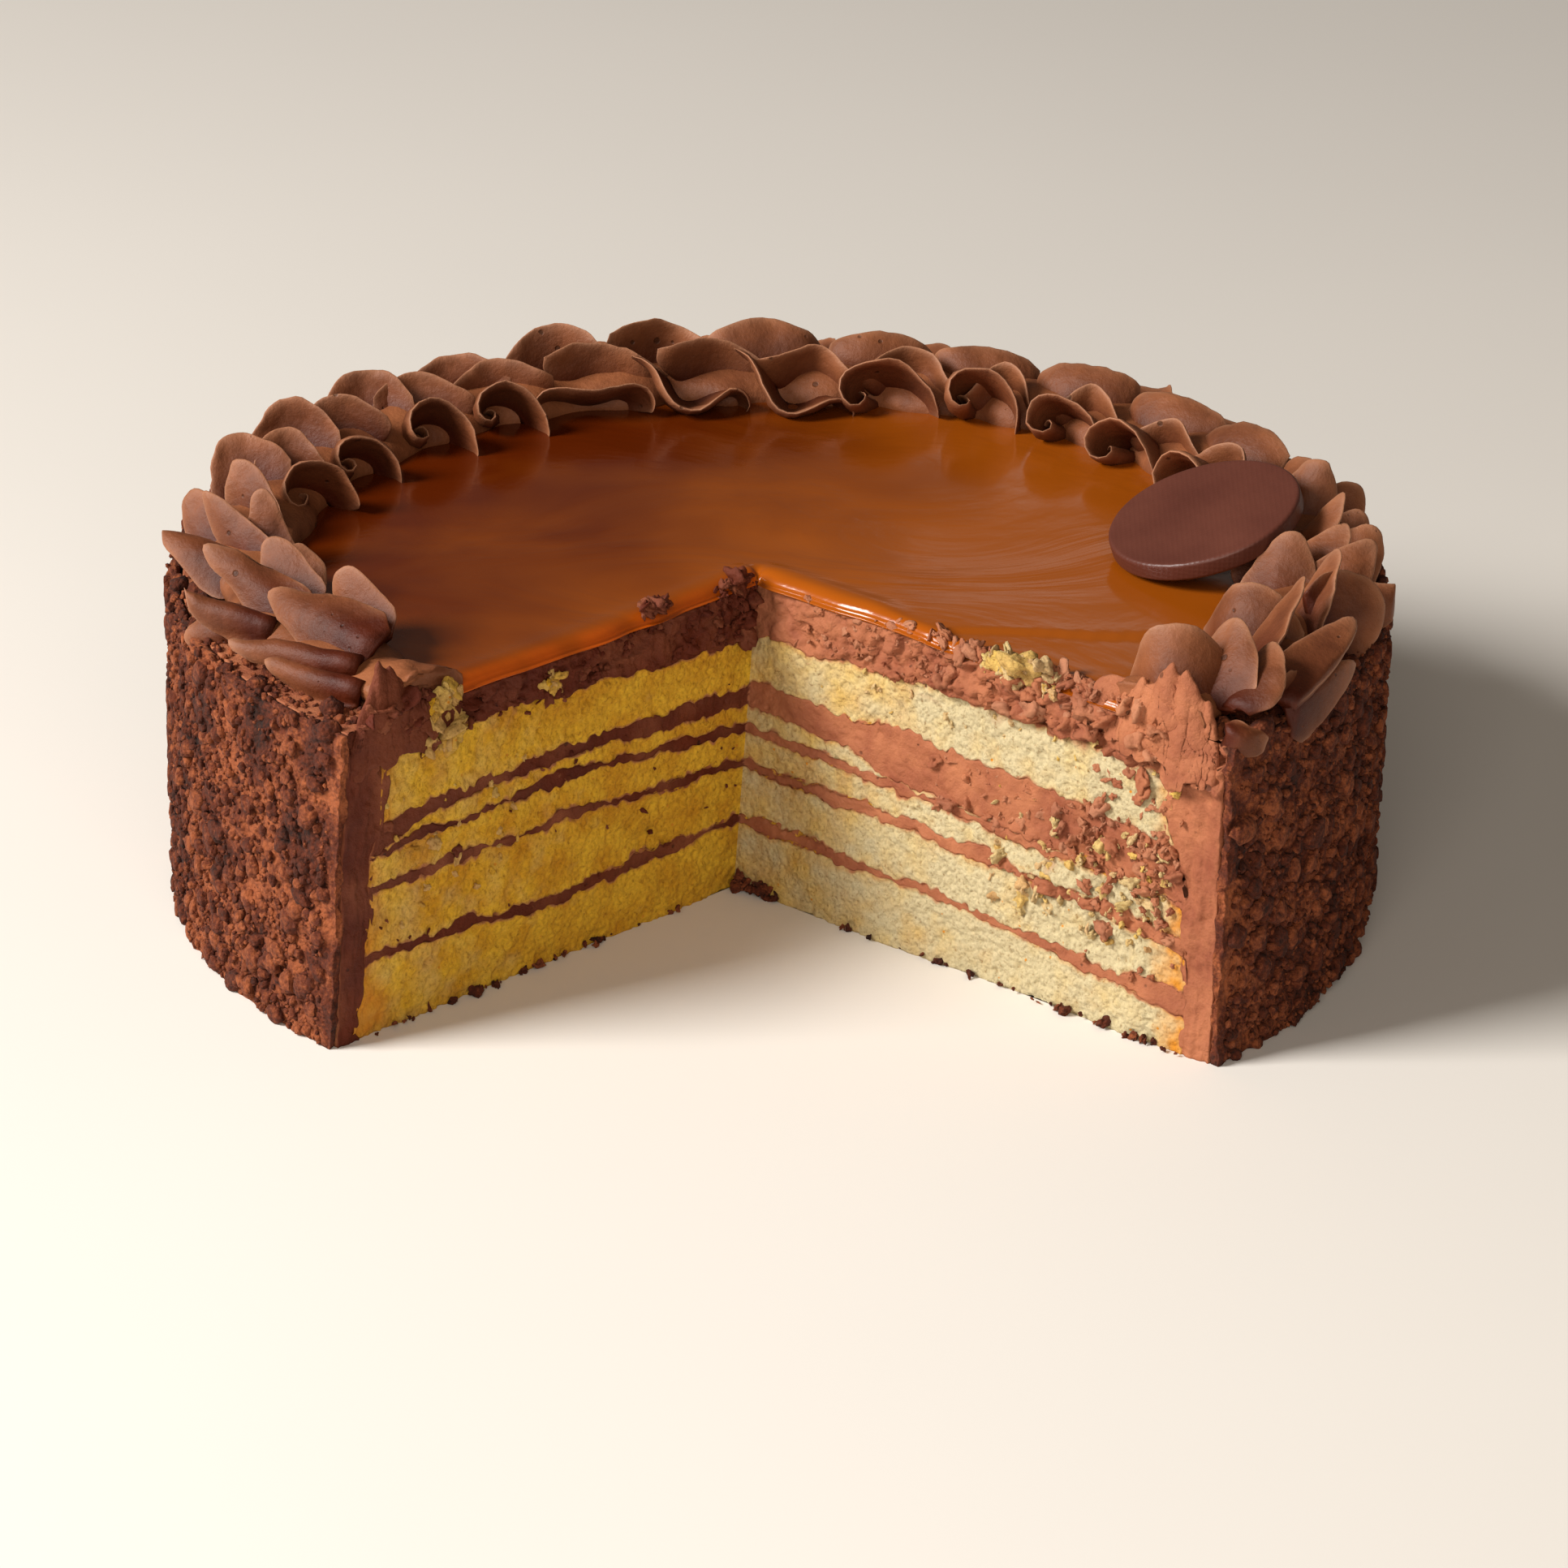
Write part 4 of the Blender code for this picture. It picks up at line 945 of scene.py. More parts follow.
def crumb_ring(material_used):
    """The bed of crumbs on the side: a ring whose stations are heights, whose rows run from the coat
    to the outside, and whose outside is covered with lumps."""
    stations = even_steps(COAT_TOP, CRUMB_STEP)
    rows = even_steps(CRUMB_BED_DEPTH, CRUMB_ROW_STEP)
    sweeps = fine_sweeps(RIM_RADIUS, CRUMB_STEP, CRUMB_FIRST_STEP)
    station, row, sweep, side = sector_loop(stations, rows, sweeps, CRUMB_LOWER_STEP)
    height = station * COAT_TOP
    wall = place(sweep, RIM_RADIUS, height)
    inner = WALL_RADIUS + 0.2 + 0.8 * noise(wall, 2.4, 141) * (side != 0)
    outer = np.maximum(RIM_RADIUS - CRUMBS_IN + crumb_bumps(wall), inner + 0.4)
    reach = inner + row * (outer - inner)
    points = pressed_in(place(sweep, reach, height))
    points = raised(points, 0.7 * crumb_bumps(points) - 0.1, side, reach, height)
    faces = sector_faces(len(stations), len(rows), len(sweeps), CRUMB_LOWER_STEP, [0, -1])
    return make_piece("crumb_bed", points, faces, material_used, {"tone": patchy_tone(points)})


def patchy_tone(points):
    """Tone of the crumbs, about 0.5: lighter and darker in patches of some millimetres."""
    return 0.5 + 0.5 * rough(points, 9.0, 142)


def loose_crumbs(name, count, smallest, largest, subdivisions, seed, material_used):
    """Crumbs that stick to the side and to the top rim: rough lumps at random places."""
    rng = np.random.default_rng(seed)
    sweep = rng.uniform(0.005, 0.995, count)
    height = COAT_TOP * (1.0 - rng.uniform(0.0, 1.0, count) ** 0.85) + 0.2
    radius = smallest * (largest / smallest) ** (rng.uniform(0, 1, count) ** 1.8)
    height = np.maximum(height, radius * 0.9)
    wall = place(sweep, RIM_RADIUS, height)
    reach = RIM_RADIUS - CRUMBS_IN + crumb_bumps(wall) + 0.35 * radius
    reach = np.minimum(reach, RIM_RADIUS + 1.2 - radius)
    on_top = rng.uniform(0.0, 1.0, count) < TOP_CRUMBS
    reach = np.where(on_top, rng.uniform(CRUMBS_FROM, RIM_RADIUS - CRUMBS_IN, count), reach)
    height = np.where(on_top, COAT_TOP + 0.5 * radius * rng.uniform(0.0, 1.0, count), height)
    points, faces, tone = lumps(place(sweep, reach, height), radius, seed, subdivisions)
    points = pressed_in(points)
    points[:, 2] = np.maximum(points[:, 2], FLOOR_CLEAR)
    tone = 0.6 * tone + 0.4 * patchy_tone(points)
    return make_piece(name, points, faces, material_used, {"tone": tone}, merge=0.0)


# Torn bits on the cut faces and crumbs at their foot. Each row is a side (1 right, -1 left), reach
# from and to, height from and to, how far they stand off the face, number, and smallest and largest
# radius, all in millimetres.
CREAM_SCRAPS = (
    (1, 50, 108, 61.0, 70.5, 1.3, 70, 0.4, 2.4),
    (1, 50, 108, 60.0, 70.0, 0.8, 120, 0.25, 0.8),
    (1, 12, 50, 58.0, 69.0, 0.6, 90, 0.25, 1.0),
    (1, 38, 102, 69.0, 71.0, -0.9, 90, 0.4, 1.6),
    (1, 50, 112, 34.0, 46.0, 0.3, 110, 0.4, 1.3),
    (1, 90, 113, 12.0, 56.0, 0.3, 80, 0.5, 1.6),
    (-1, 1, 14, 57.0, 71.0, 1.0, 80, 0.5, 1.8),
    (-1, 30, 36, 69.0, 72.5, 0.5, 16, 0.9, 2.2),
    (-1, 14, 104, 58.0, 68.0, 0.2, 90, 0.5, 1.5),
    (-1, 2, 112, 12.0, 50.0, 0.0, 40, 0.3, 0.7),
    (-1, 100, 119, 64.0, 72.0, 0.8, 30, 0.6, 1.8),
)
SPONGE_SCRAPS = (
    (1, 62, 82, 66.0, 72.0, 2.0, 34, 0.7, 2.6),
    (1, 66, 112, 18.0, 44.0, 0.2, 110, 0.4, 1.5),
    (1, 10, 112, 50.0, 60.0, 0.1, 40, 0.3, 0.8),
    (-1, 93, 101, 57.0, 71.0, 1.4, 44, 0.8, 2.2),
    (-1, 62, 68, 61.0, 65.0, 1.2, 9, 0.7, 1.5),
    (-1, 70, 112, 20.0, 50.0, 0.0, 30, 0.4, 1.2),
)
FOOT_SCRAPS = (
    (1, 30, 116, 0.4, 1.2, 1.8, 34, 0.3, 0.9),
    (-1, 20, 116, 0.4, 1.2, 1.8, 34, 0.3, 0.9),
    (1, 1, 12, 0.4, 3.0, 1.0, 16, 0.6, 1.5),
)
# Pieces made of them: name, side, rows, seed, and the range of each number kept for the material.
SCRAP_PIECES = (
    # The cream bits on the right take painted edge light and those on the left painted shade; the sponge
    # bits are pale, most on the lit right, as painted light.
    ("cream_bits_right", 1, CREAM_SCRAPS, 31, {"thin": (-0.1, 0.35)}),
    ("cream_bits_left", -1, CREAM_SCRAPS, 32, {"moist": (0.6, 1.3)}),
    ("sponge_bits_right", 1, SPONGE_SCRAPS, 33, {"torn_open": (0.4, 1.1), "browned": (-0.5, 0.5)}),
    ("sponge_bits_left", -1, SPONGE_SCRAPS, 35, {"torn_open": (0.2, 0.7), "browned": (-0.5, 0.4)}),
)


def scraps(name, rows, seed, material_used, attributes):
    """Torn bits that stick to the cut faces: rough lumps at random places in each row's patch, off the
    face by a random part of its distance. Attributes gives a value from each bit's random tone."""
    rng = np.random.default_rng(seed)
    centres, radii = [], []
    for side, near, far, low, high, off, count, smallest, largest in rows:
        reach = rng.uniform(near, far, count)
        height = rng.uniform(low, high, count)
        radius = smallest * (largest / smallest) ** (rng.uniform(0, 1, count) ** 1.6)
        sides = np.full(count, float(side))
        face = place(np.where(sides > 0, 0.0, 1.0), reach, np.minimum(height, CAKE_HEIGHT))
        face[:, 2] = np.maximum(height, 0.8 * radius)
        stand = off * rng.uniform(0.1, 1.0, count)
        centres.append(face + stand[:, None] * into_slice(sides, reach, height))
        radii.append(radius)
    centres, radii = np.concatenate(centres), np.concatenate(radii)
    points, faces, tone = lumps(centres, radii, seed, 3, dent=0.75, stretch=0.6)
    points[:, 2] = np.maximum(points[:, 2], FLOOR_CLEAR)
    values = {label: low + (high - low) * tone for label, (low, high) in attributes.items()}
    return make_piece(name, points, faces, material_used, values, merge=0.0)


def disc_piece(material_used):
    """The chocolate disc: a turned profile with rounded rims, tilted on the piping."""
    half = DISC_THICKNESS / 2
    corner = np.linspace(0.0, np.pi / 2, DISC_EDGE_POINTS)
    edge_radius = DISC_RADIUS - DISC_EDGE + DISC_EDGE * np.sin(corner)
    edge_level = half - DISC_EDGE + DISC_EDGE * np.cos(corner)
    inner = np.array(DISC_RINGS) * (DISC_RADIUS - DISC_EDGE)
    face = np.full(len(inner), half)
    radius = np.concatenate([inner, edge_radius, edge_radius[::-1], inner[::-1]])[:, None]
    level = np.concatenate([face, edge_level, -edge_level[::-1], -face])[:, None]
    turn = np.linspace(0.0, 2 * np.pi, DISC_POINTS_ROUND + 1)[:-1]
    flat = np.stack([radius * np.cos(turn), radius * np.sin(turn), level + 0 * turn], axis=-1)
    centre, turned = disc_frame()
    points = centre + flat @ turned.T
    index = np.arange(points.shape[0] * points.shape[1]).reshape(points.shape[:2])
    around = np.roll(index, -1, axis=1)
    faces = np.stack([index[:-1], index[1:], around[1:], around[:-1]], axis=-1).reshape(-1, 4).tolist()
    return make_piece("disc_moulded", points, faces, material_used)


def disc_frame():
    """Centre and turning matrix of the chocolate disc. Its lowest edge is one gap over the caramel."""
    way = np.radians(DISC_RISES_TOWARDS)
    tilt = math.radians(DISC_TILT)
    axis = np.array([np.sin(way), -np.cos(way), 0.0])
    rise = DISC_RADIUS * math.sin(tilt) + 0.5 * DISC_THICKNESS * math.cos(tilt)
    centre = np.array([*DISC_CENTRE, CAKE_HEIGHT + GAP + rise])
    return centre, turn_about(axis, DISC_TILT)


def turn_about(axis, degrees):
    """Turning matrices about unit axes: one, or one for each row."""
    axis = np.asarray(axis, dtype=float)
    a = np.radians(np.asarray(degrees, dtype=float))[..., None, None]
    zero = np.zeros(axis.shape[:-1])
    cross = np.stack([
        np.stack([zero, -axis[..., 2], axis[..., 1]], axis=-1),
        np.stack([axis[..., 2], zero, -axis[..., 0]], axis=-1),
        np.stack([-axis[..., 1], axis[..., 0], zero], axis=-1),
    ], axis=-2)
    return np.eye(3) + np.sin(a) * cross + (1 - np.cos(a)) * cross @ cross


# Petals of the border, tier by tier, at angles round the cake. Each row is an angle and then root,
# width, length, lean outwards, lean counter-clockwise, turn about the upright, cup, curl, tuck, wave
# and bend, all in millimetres and degrees. Between rows the values blend. Root is how far outside the
# rope the petal starts. Cup is how far the sheet turns across its width, curl and tuck how far its
# counter-clockwise and its clockwise side roll up, wave how far it turns to and fro, and bend how far
# it turns along its length.
OUTER_TIER = (
    (10.0, 1.0, 22.0, 14.0, 8.0, 0.0, 10.0, 60.0, 0.0, 0.0, 0.0, 50.0),
    (25.0, 0.0, 27.0, 14.0, 0.0, 0.0, 20.0, 100.0, 0.0, 0.0, 10.0, 70.0),
    (60.0, 0.0, 28.0, 14.0, -5.0, 0.0, 22.0, 110.0, 0.0, 0.0, 10.0, 70.0),
    (92.0, 0.0, 27.0, 15.0, -5.0, -5.0, 10.0, 100.0, 0.0, 0.0, 20.0, 65.0),
    (102.0, 1.0, 30.0, 14.0, 10.0, -14.0, -10.0, -50.0, 0.0, 0.0, 20.0, -10.0),
    (130.0, 3.0, 24.0, 13.0, 18.0, 5.0, -35.0, -60.0, 0.0, 0.0, 10.0, -10.0),
    (165.0, 4.0, 19.0, 15.0, 25.0, 22.0, -65.0, -60.0, 0.0, 0.0, 10.0, -10.0),
    (178.0, 4.0, 15.0, 16.0, 30.0, 18.0, -70.0, -50.0, 0.0, 0.0, 10.0, 5.0),
)
MIDDLE_TIER = (
    (10.0, -3.0, 20.0, 11.0, -10.0, 0.0, 20.0, 60.0, 0.0, 0.0, 40.0, 10.0),
    (60.0, -5.0, 24.0, 10.0, -25.0, 0.0, 20.0, 30.0, 0.0, 60.0, 60.0, 10.0),
    (90.0, -6.0, 34.0, 12.0, -20.0, -12.0, 5.0, -10.0, 30.0, -60.0, 40.0, 0.0),
    (105.0, -4.0, 31.0, 12.0, -10.0, -14.0, -10.0, -40.0, 0.0, -80.0, 10.0, 0.0),
    (130.0, -2.0, 25.0, 11.0, 5.0, 0.0, -35.0, -60.0, 0.0, -60.0, 10.0, 0.0),
    (165.0, -1.0, 19.0, 14.0, 12.0, 10.0, -62.0, -80.0, 0.0, 0.0, 10.0, 0.0),
    (178.0, -1.0, 16.0, 16.0, 16.0, 10.0, -70.0, -60.0, 0.0, 0.0, 10.0, 5.0),
)
INNER_TIER = (
    (10.0, -7.0, 36.0, 13.0, -60.0, 0.0, 15.0, -190.0, -300.0, 0.0, 0.0, 5.0),
    (60.0, -6.0, 40.0, 15.0, -60.0, 0.0, 20.0, -200.0, -330.0, 0.0, 0.0, 5.0),
    (76.0, -7.0, 38.0, 15.0, -60.0, 0.0, 10.0, -170.0, -300.0, 0.0, 0.0, 5.0),
    (88.0, -9.0, 36.0, 14.0, -66.0, 0.0, 0.0, 20.0, 0.0, 130.0, -60.0, 5.0),
    (112.0, -8.0, 34.0, 13.0, -64.0, 0.0, -10.0, 20.0, 0.0, 150.0, -60.0, 5.0),
    (125.0, -7.0, 36.0, 13.0, -60.0, 0.0, -28.0, -190.0, -330.0, 0.0, 0.0, 5.0),
    (165.0, -6.0, 36.0, 13.0, -60.0, 0.0, -45.0, -200.0, -330.0, 0.0, 0.0, 5.0),
    (178.0, -6.0, 18.0, 13.0, -10.0, 10.0, -70.0, -70.0, 0.0, 0.0, 10.0, 5.0),
)
# Petals that hang over the rim, behind the outer tier.
RIM_TIER = (
    (10.0, 4.0, 20.0, 12.0, 60.0, 0.0, 0.0, 40.0, 0.0, 0.0, 40.0, 10.0),
    (60.0, 6.0, 24.0, 12.0, 62.0, 0.0, 10.0, 40.0, 0.0, 0.0, 50.0, 10.0),
    (100.0, 8.0, 26.0, 12.0, 62.0, 0.0, 0.0, -40.0, 0.0, 0.0, 50.0, 10.0),
    (140.0, 6.0, 22.0, 12.0, 60.0, 0.0, -15.0, -40.0, 0.0, 0.0, 40.0, 10.0),
    (178.0, 4.0, 16.0, 12.0, 60.0, 0.0, -30.0, -40.0, 0.0, 0.0, 30.0, 10.0),
)
# Petals at both ends, placed one by one: root and tip, in millimetres, azimuth and elevation of the
# way its face looks, width, cup, wave and bend.
END_PETALS = (
    # Left end, from the cut backwards.
    ((-80, -78, 71), (-99, -66, 70), -110, 55, 13, 30, 75, 10),
    ((-81, -72, 74), (-107, -61, 73), -110, 55, 13, 20, 70, 0),
    ((-78, -68, 76), (-101, -50, 81), -105, 45, 16, 30, 30, -10),
    ((-94, -50, 74), (-113, -34, 82), -110, 45, 13, 40, 30, 10),
    ((-99, -52, 73), (-119, -45, 75), -100, 60, 14, 20, 75, 10),
    ((-103, -47, 72), (-118, -43, 67), -120, 15, 13, -60, 30, 0),
    ((-79, -58, 72), (-86, -46, 84), -135, 35, 15, 30, 10, 10),
    ((-96, -41, 71), (-101, -29, 83), -105, 20, 16, 50, 10, 10),
    ((-103, -18, 70), (-105, -10, 86), -95, 10, 13, 30, 10, 10),
    ((-103, -22, 72), (-117, -8, 84), -125, 15, 12, 30, 20, 0),
    ((-106, -27, 73), (-126, -15, 78), -95, 60, 13, 30, 40, 0),
    ((-113, -8, 71), (-122, 2, 80), -95, 10, 14, 30, 10, 0),
    ((-100, -30, 70), (-94, -22, 78), -100, 10, 15, 70, 0, 10),
    ((-106, -1, 71), (-112, 8, 86), -110, 5, 14, 50, 10, 0),
    # Right end, from the cut backwards.
    ((79, -76, 70), (77, -64, 81), -110, 40, 31, -110, 20, 30),
    ((79, -80, 68), (78, -75, 80), -120, 10, 8, 20, 60, 0),
    ((84, -84, 68), (84, -80, 79), -120, 10, 8, -40, 60, 0),
    ((86, -86, 70), (97, -85, 67), -120, 30, 9, 40, 60, 0),
    ((84, -76, 71), (90, -64, 85), -130, 20, 18, 50, 20, 10),
    ((88, -79, 72), (98, -67, 79), -150, 25, 17, -110, 0, 20),
    ((98, -76, 73), (113, -50, 81), -110, 30, 15, 50, 10, 0),
    ((99, -76, 70), (114, -55, 72), -85, 10, 15, 40, 40, 0),
    ((93, -60, 73), (103, -45, 87), -155, 10, 14, 40, 0, 0),
    ((92, -48, 71), (95, -38, 81), -125, 40, 26, -70, 20, 20),
    ((104, -42, 72), (111, -32, 88), -150, 0, 13, 40, 0, 0),
    ((106, -40, 74), (121, -32, 77), -125, 0, 21, 80, 20, 0),
    ((111, -31, 71), (126, -23, 74), -95, 0, 17, 50, 50, 0),
    ((99, -24, 71), (104, -12, 82), -110, 35, 16, 50, 30, 20),
    ((98, -15, 71), (101, -4, 84), -100, 15, 15, 40, 0, 10),
    ((108, -24, 72), (120, -13, 82), -95, 30, 14, 40, 20, 10),
    ((106, -18, 72), (114, -9, 85), -125, 10, 14, 50, 0, 0),
    ((105, -8, 72), (114, 2, 87), -140, 0, 12, 30, 10, 0),
    ((112, -9, 72), (122, -2, 81), -95, 15, 15, 50, 20, 0),
    ((106, 12, 72), (112, 20, 88), -110, 0, 16, 60, 40, 10),
    ((112, 14, 72), (120, 22, 81), -90, 10, 14, 40, 20, 0),
    ((111, 2, 71), (120, 8, 80), -95, 10, 14, 40, 20, 0),
)
# The tiers stand between these two angles. For each: its name, rows and shift in squeezes.
TIERS_FROM = 12.0
TIERS_TO = 176.0
TIERS = (
    ("rim", RIM_TIER, 0.1),
    ("outer", OUTER_TIER, 0.5),
    ("middle", MIDDLE_TIER, 0.0),
    ("inner", INNER_TIER, 0.25),
)
# How far the roots of the tiers stand over the middle of the rope.
ROOT_RISE = 1.0
# The rope under the petals at angles round the cake: its radius, half width and half height. It
# is wider in the back, and a knife spread its ends.
ROPE = (
    (-45.0, 105.0, 11.0, 4.0),
    (-38.0, 106.0, 9.0, 4.0),
    (0.0, 108.0, 10.0, 6.0),
    (60.0, 104.0, 10.0, 6.0),
    (90.0, 102.0, 11.0, 6.0),
    (120.0, 104.0, 10.0, 6.0),
    (180.0, 108.0, 10.0, 6.0),
    (222.0, 104.0, 9.0, 4.0),
    (228.0, 103.0, 10.0, 4.0),
)
# Smeared cream at both ends: side, reach from and to, height from and to, how far it stands off the
# face at its foot, and depth of its ridges.
SMEARS = (
    (1, 94, 119, 61.0, 80.0, 0.3, 1.5),
    (1, 86, 104, 63.0, 74.0, 0.5, 1.2),
    (1, 107, 121, 58.0, 75.0, 0.5, 1.4),
    (-1, 97, 121, 59.0, 79.0, 0.2, 0.8),
    (-1, 90, 107, 63.0, 75.0, 0.4, 0.8),
)
SMEAR_ACROSS = 90
SMEAR_UP = 50
SMEAR_THICKNESS = 2.6
# Narrower end petals are stand-ins for that smeared cream.
STUMP_WIDTH = 8.5
# No inner petals stand within this angle of the disc.
DISC_SHARE = 11.0
# Cream further past a cut face than this belongs to the other half of the cake, and is left alone.
SOFT_REACH = 30.0
# Steps of a petal across and along, and of the curve that its cross-section is picked from.
PETAL_ACROSS = 26
PETAL_ALONG = 14
CURVE_POINTS = 481
# Rope: points round it, sweep past each cut face, steps of its ends, and radius and steps of its run.
ROPE_AROUND = 40
ROPE_PAST = 0.03
ROPE_END_STEPS = 15
ROPE_RUN = (105.0, 2.0, 0.5)


def petal_sheets(width, length, cup, curl, tuck, wave, bend, s, v):
    """Middle surfaces of petals, as points of petal by across by along.

    The cross-section is a curve whose direction turns by cup evenly, by curl and tuck faster and
    faster towards its two sides, and to and fro by wave. It fans out from a narrow root, its top edge
    is an arch, and it bends over by bend along its length.
    """
    fine = np.linspace(0.0, 1.0, CURVE_POINTS)
    width, length, cup, curl, tuck, wave, bend = (
        a[:, None] for a in (width, length, cup, curl, tuck, wave, bend))
    turn = np.radians(
        cup * (fine - 0.5) + curl * fine**5 + tuck * (1 - fine) ** 5 + wave * np.sin(2 * np.pi * fine))
    x = np.cumsum(np.cos(turn), axis=1) / len(fine)
    y = np.cumsum(np.sin(turn), axis=1) / len(fine)
    pick = np.round(s * (len(fine) - 1)).astype(int)
    x = (x - x.mean(axis=1, keepdims=True))[:, pick, None] * width[..., None]
    y = (y - y.mean(axis=1, keepdims=True))[:, pick, None] * width[..., None]
    v = v[None, None, :]
    narrow = 0.45 - 0.002 * np.clip(cup, 0.0, 150.0)[..., None]
    fan = 1.0 - narrow + narrow * np.sin(0.5 * np.pi * np.minimum(1.4 * v, 1.0))
    drop = np.clip(0.3 + 0.35 * length / width, 0.0, 0.8)[..., None]
    blunt = 2.6 - 0.4 * np.clip(length / width, 0.0, 2.0)[..., None]
    arch = 1.0 - drop * np.abs(2 * s[None, :, None] - 1) ** blunt
    rise = v * arch * length[..., None]
    bent = np.radians(np.where(np.abs(bend) < 0.1, 0.1, bend))[..., None] / length[..., None]
    z = np.sin(bent * rise) / bent
    out = (1 - np.cos(bent * rise)) / bent
    return np.stack([x * fan, y * fan + out, z + 0 * x], axis=-1)


def petal_walls(sheets, s, v, thickness):
    """Closed petals round their middle surfaces: both sides lie half a thickness off the sheet, which
    is thickest at the root and thins to a round edge."""
    across = np.gradient(sheets, axis=1)
    along = np.gradient(sheets, axis=2)
    off = unit(np.cross(across, along))
    aside = np.abs(2 * s - 1)
    edge = (np.sqrt(np.clip(1.0 - aside**8, 0, 1)) * (1.05 - 0.45 * aside**2))[None, :, None]
    tip_round = np.sqrt(np.clip(1.0 - v**10, 0, 1))[None, None, :]
    half = 0.5 * thickness * (1.6 - 0.9 * v[None, None, :]) * edge * tip_round
    front, back = sheets + off * half[..., None], sheets - off * half[..., None]
    return np.concatenate([front, back[:, -2:0:-1]], axis=1)


def tube_faces(around, along, closed_root):
    """Faces of a tube of around by along points. Its root may be shut by one face."""
    index = np.arange(around * along).reshape(around, along)
    turned = np.roll(index, -1, axis=0)
    corners = [index[:, :-1], turned[:, :-1], turned[:, 1:], index[:, 1:]]
    faces = np.stack(corners, axis=-1).reshape(-1, 4).tolist()
    if closed_root:
        faces.append(index[:, 0].tolist())
    return faces


def petal_faces(walls):
    """Faces of closed petals, whose points are given by petal, across and along."""
    count, across, along = walls.shape[:3]
    single = tube_faces(across, along, True)
    return [[i + across * along * k for i in face] for k in range(count) for face in single]


def petal_table():
    """The petals of the tiers: for each tier, angles and a column of values for each measure."""
    rng = np.random.default_rng(PETAL_SEED)
    step = (LEFT_CUT + LEFT_CUT_LEAN - RIGHT_CUT) / SQUEEZES
    squeeze = np.arange(SQUEEZES)
    disc = math.degrees(math.atan2(DISC_CENTRE[1], DISC_CENTRE[0]))
    for name, rows, shift in TIERS:
        angle = RIGHT_CUT + step * (squeeze + 0.15 + 0.7 * shift + rng.uniform(-0.08, 0.08, SQUEEZES))
        table = np.array(rows)
        values = np.array([np.interp(angle, table[:, 0], column) for column in table[:, 1:].T])
        values[1] *= rng.uniform(0.92, 1.08, SQUEEZES)
        values[2] *= rng.uniform(0.9, 1.08, SQUEEZES)
        values[3] += rng.uniform(-6, 6, SQUEEZES)
        values[4] += rng.uniform(-8, 8, SQUEEZES)
        keep = (angle > TIERS_FROM) & (angle < TIERS_TO)
        if name == "inner":
            keep &= np.abs(angle - disc) > DISC_SHARE
        yield name, angle[keep], values[:, keep]


def petal_tier(name, angle, values, thickness, material_used):
    """One tier of petals as a piece, stood on the rope."""
    root, width, length, out, lean, yaw, cup, curl, tuck, wave, bend = values
    a = np.radians(angle)
    zero, one = np.zeros(len(a)), np.ones(len(a))
    outward = np.stack([np.cos(a), np.sin(a), zero], axis=-1)
    around = np.stack([-np.sin(a), np.cos(a), zero], axis=-1)
    up = np.stack([zero, zero, one], axis=-1)
    frames = turn_about(up, yaw) @ turn_about(outward, -lean) @ turn_about(around, out)
    frames = frames @ np.stack([around, outward, up], axis=-1)
    base = outward * (rope_sizes(angle)[0] + root)[:, None] + up * (ROPE_HEIGHT + ROOT_RISE)
    shape = (width, length, cup, curl, tuck, wave, bend)
    return petal_piece(f"piped_{name}_petals", base, frames, shape, thickness, material_used)


def end_petals(thickness, material_used):
    """The petals at both ends as a piece. Each stands along the line from its root to its tip, and
    its face looks as nearly its own way as that line lets it."""
    rows = [row for row in END_PETALS if row[4] > STUMP_WIDTH]
    base = np.array([row[0] for row in rows], dtype=float)
    tips = np.array([row[1] for row in rows], dtype=float)
    azimuth, elevation, width, cup, wave, bend = np.array([row[2:] for row in rows], dtype=float).T
    stem = tips - base
    along = unit(stem)
    level, rise = np.radians(azimuth), np.radians(elevation)
    looks = np.stack([np.cos(level) * np.cos(rise), np.sin(level) * np.cos(rise), np.sin(rise)], axis=-1)
    face = unit(looks - (looks * along).sum(axis=-1, keepdims=True) * along)
    frames = np.stack([np.cross(face, along), face, along], axis=-1)
    none = np.zeros(len(width))
    shape = (width, np.linalg.norm(stem, axis=-1), cup, none, none, wave, bend)
    return petal_piece("piped_end_petals", base, frames, shape, thickness, material_used)


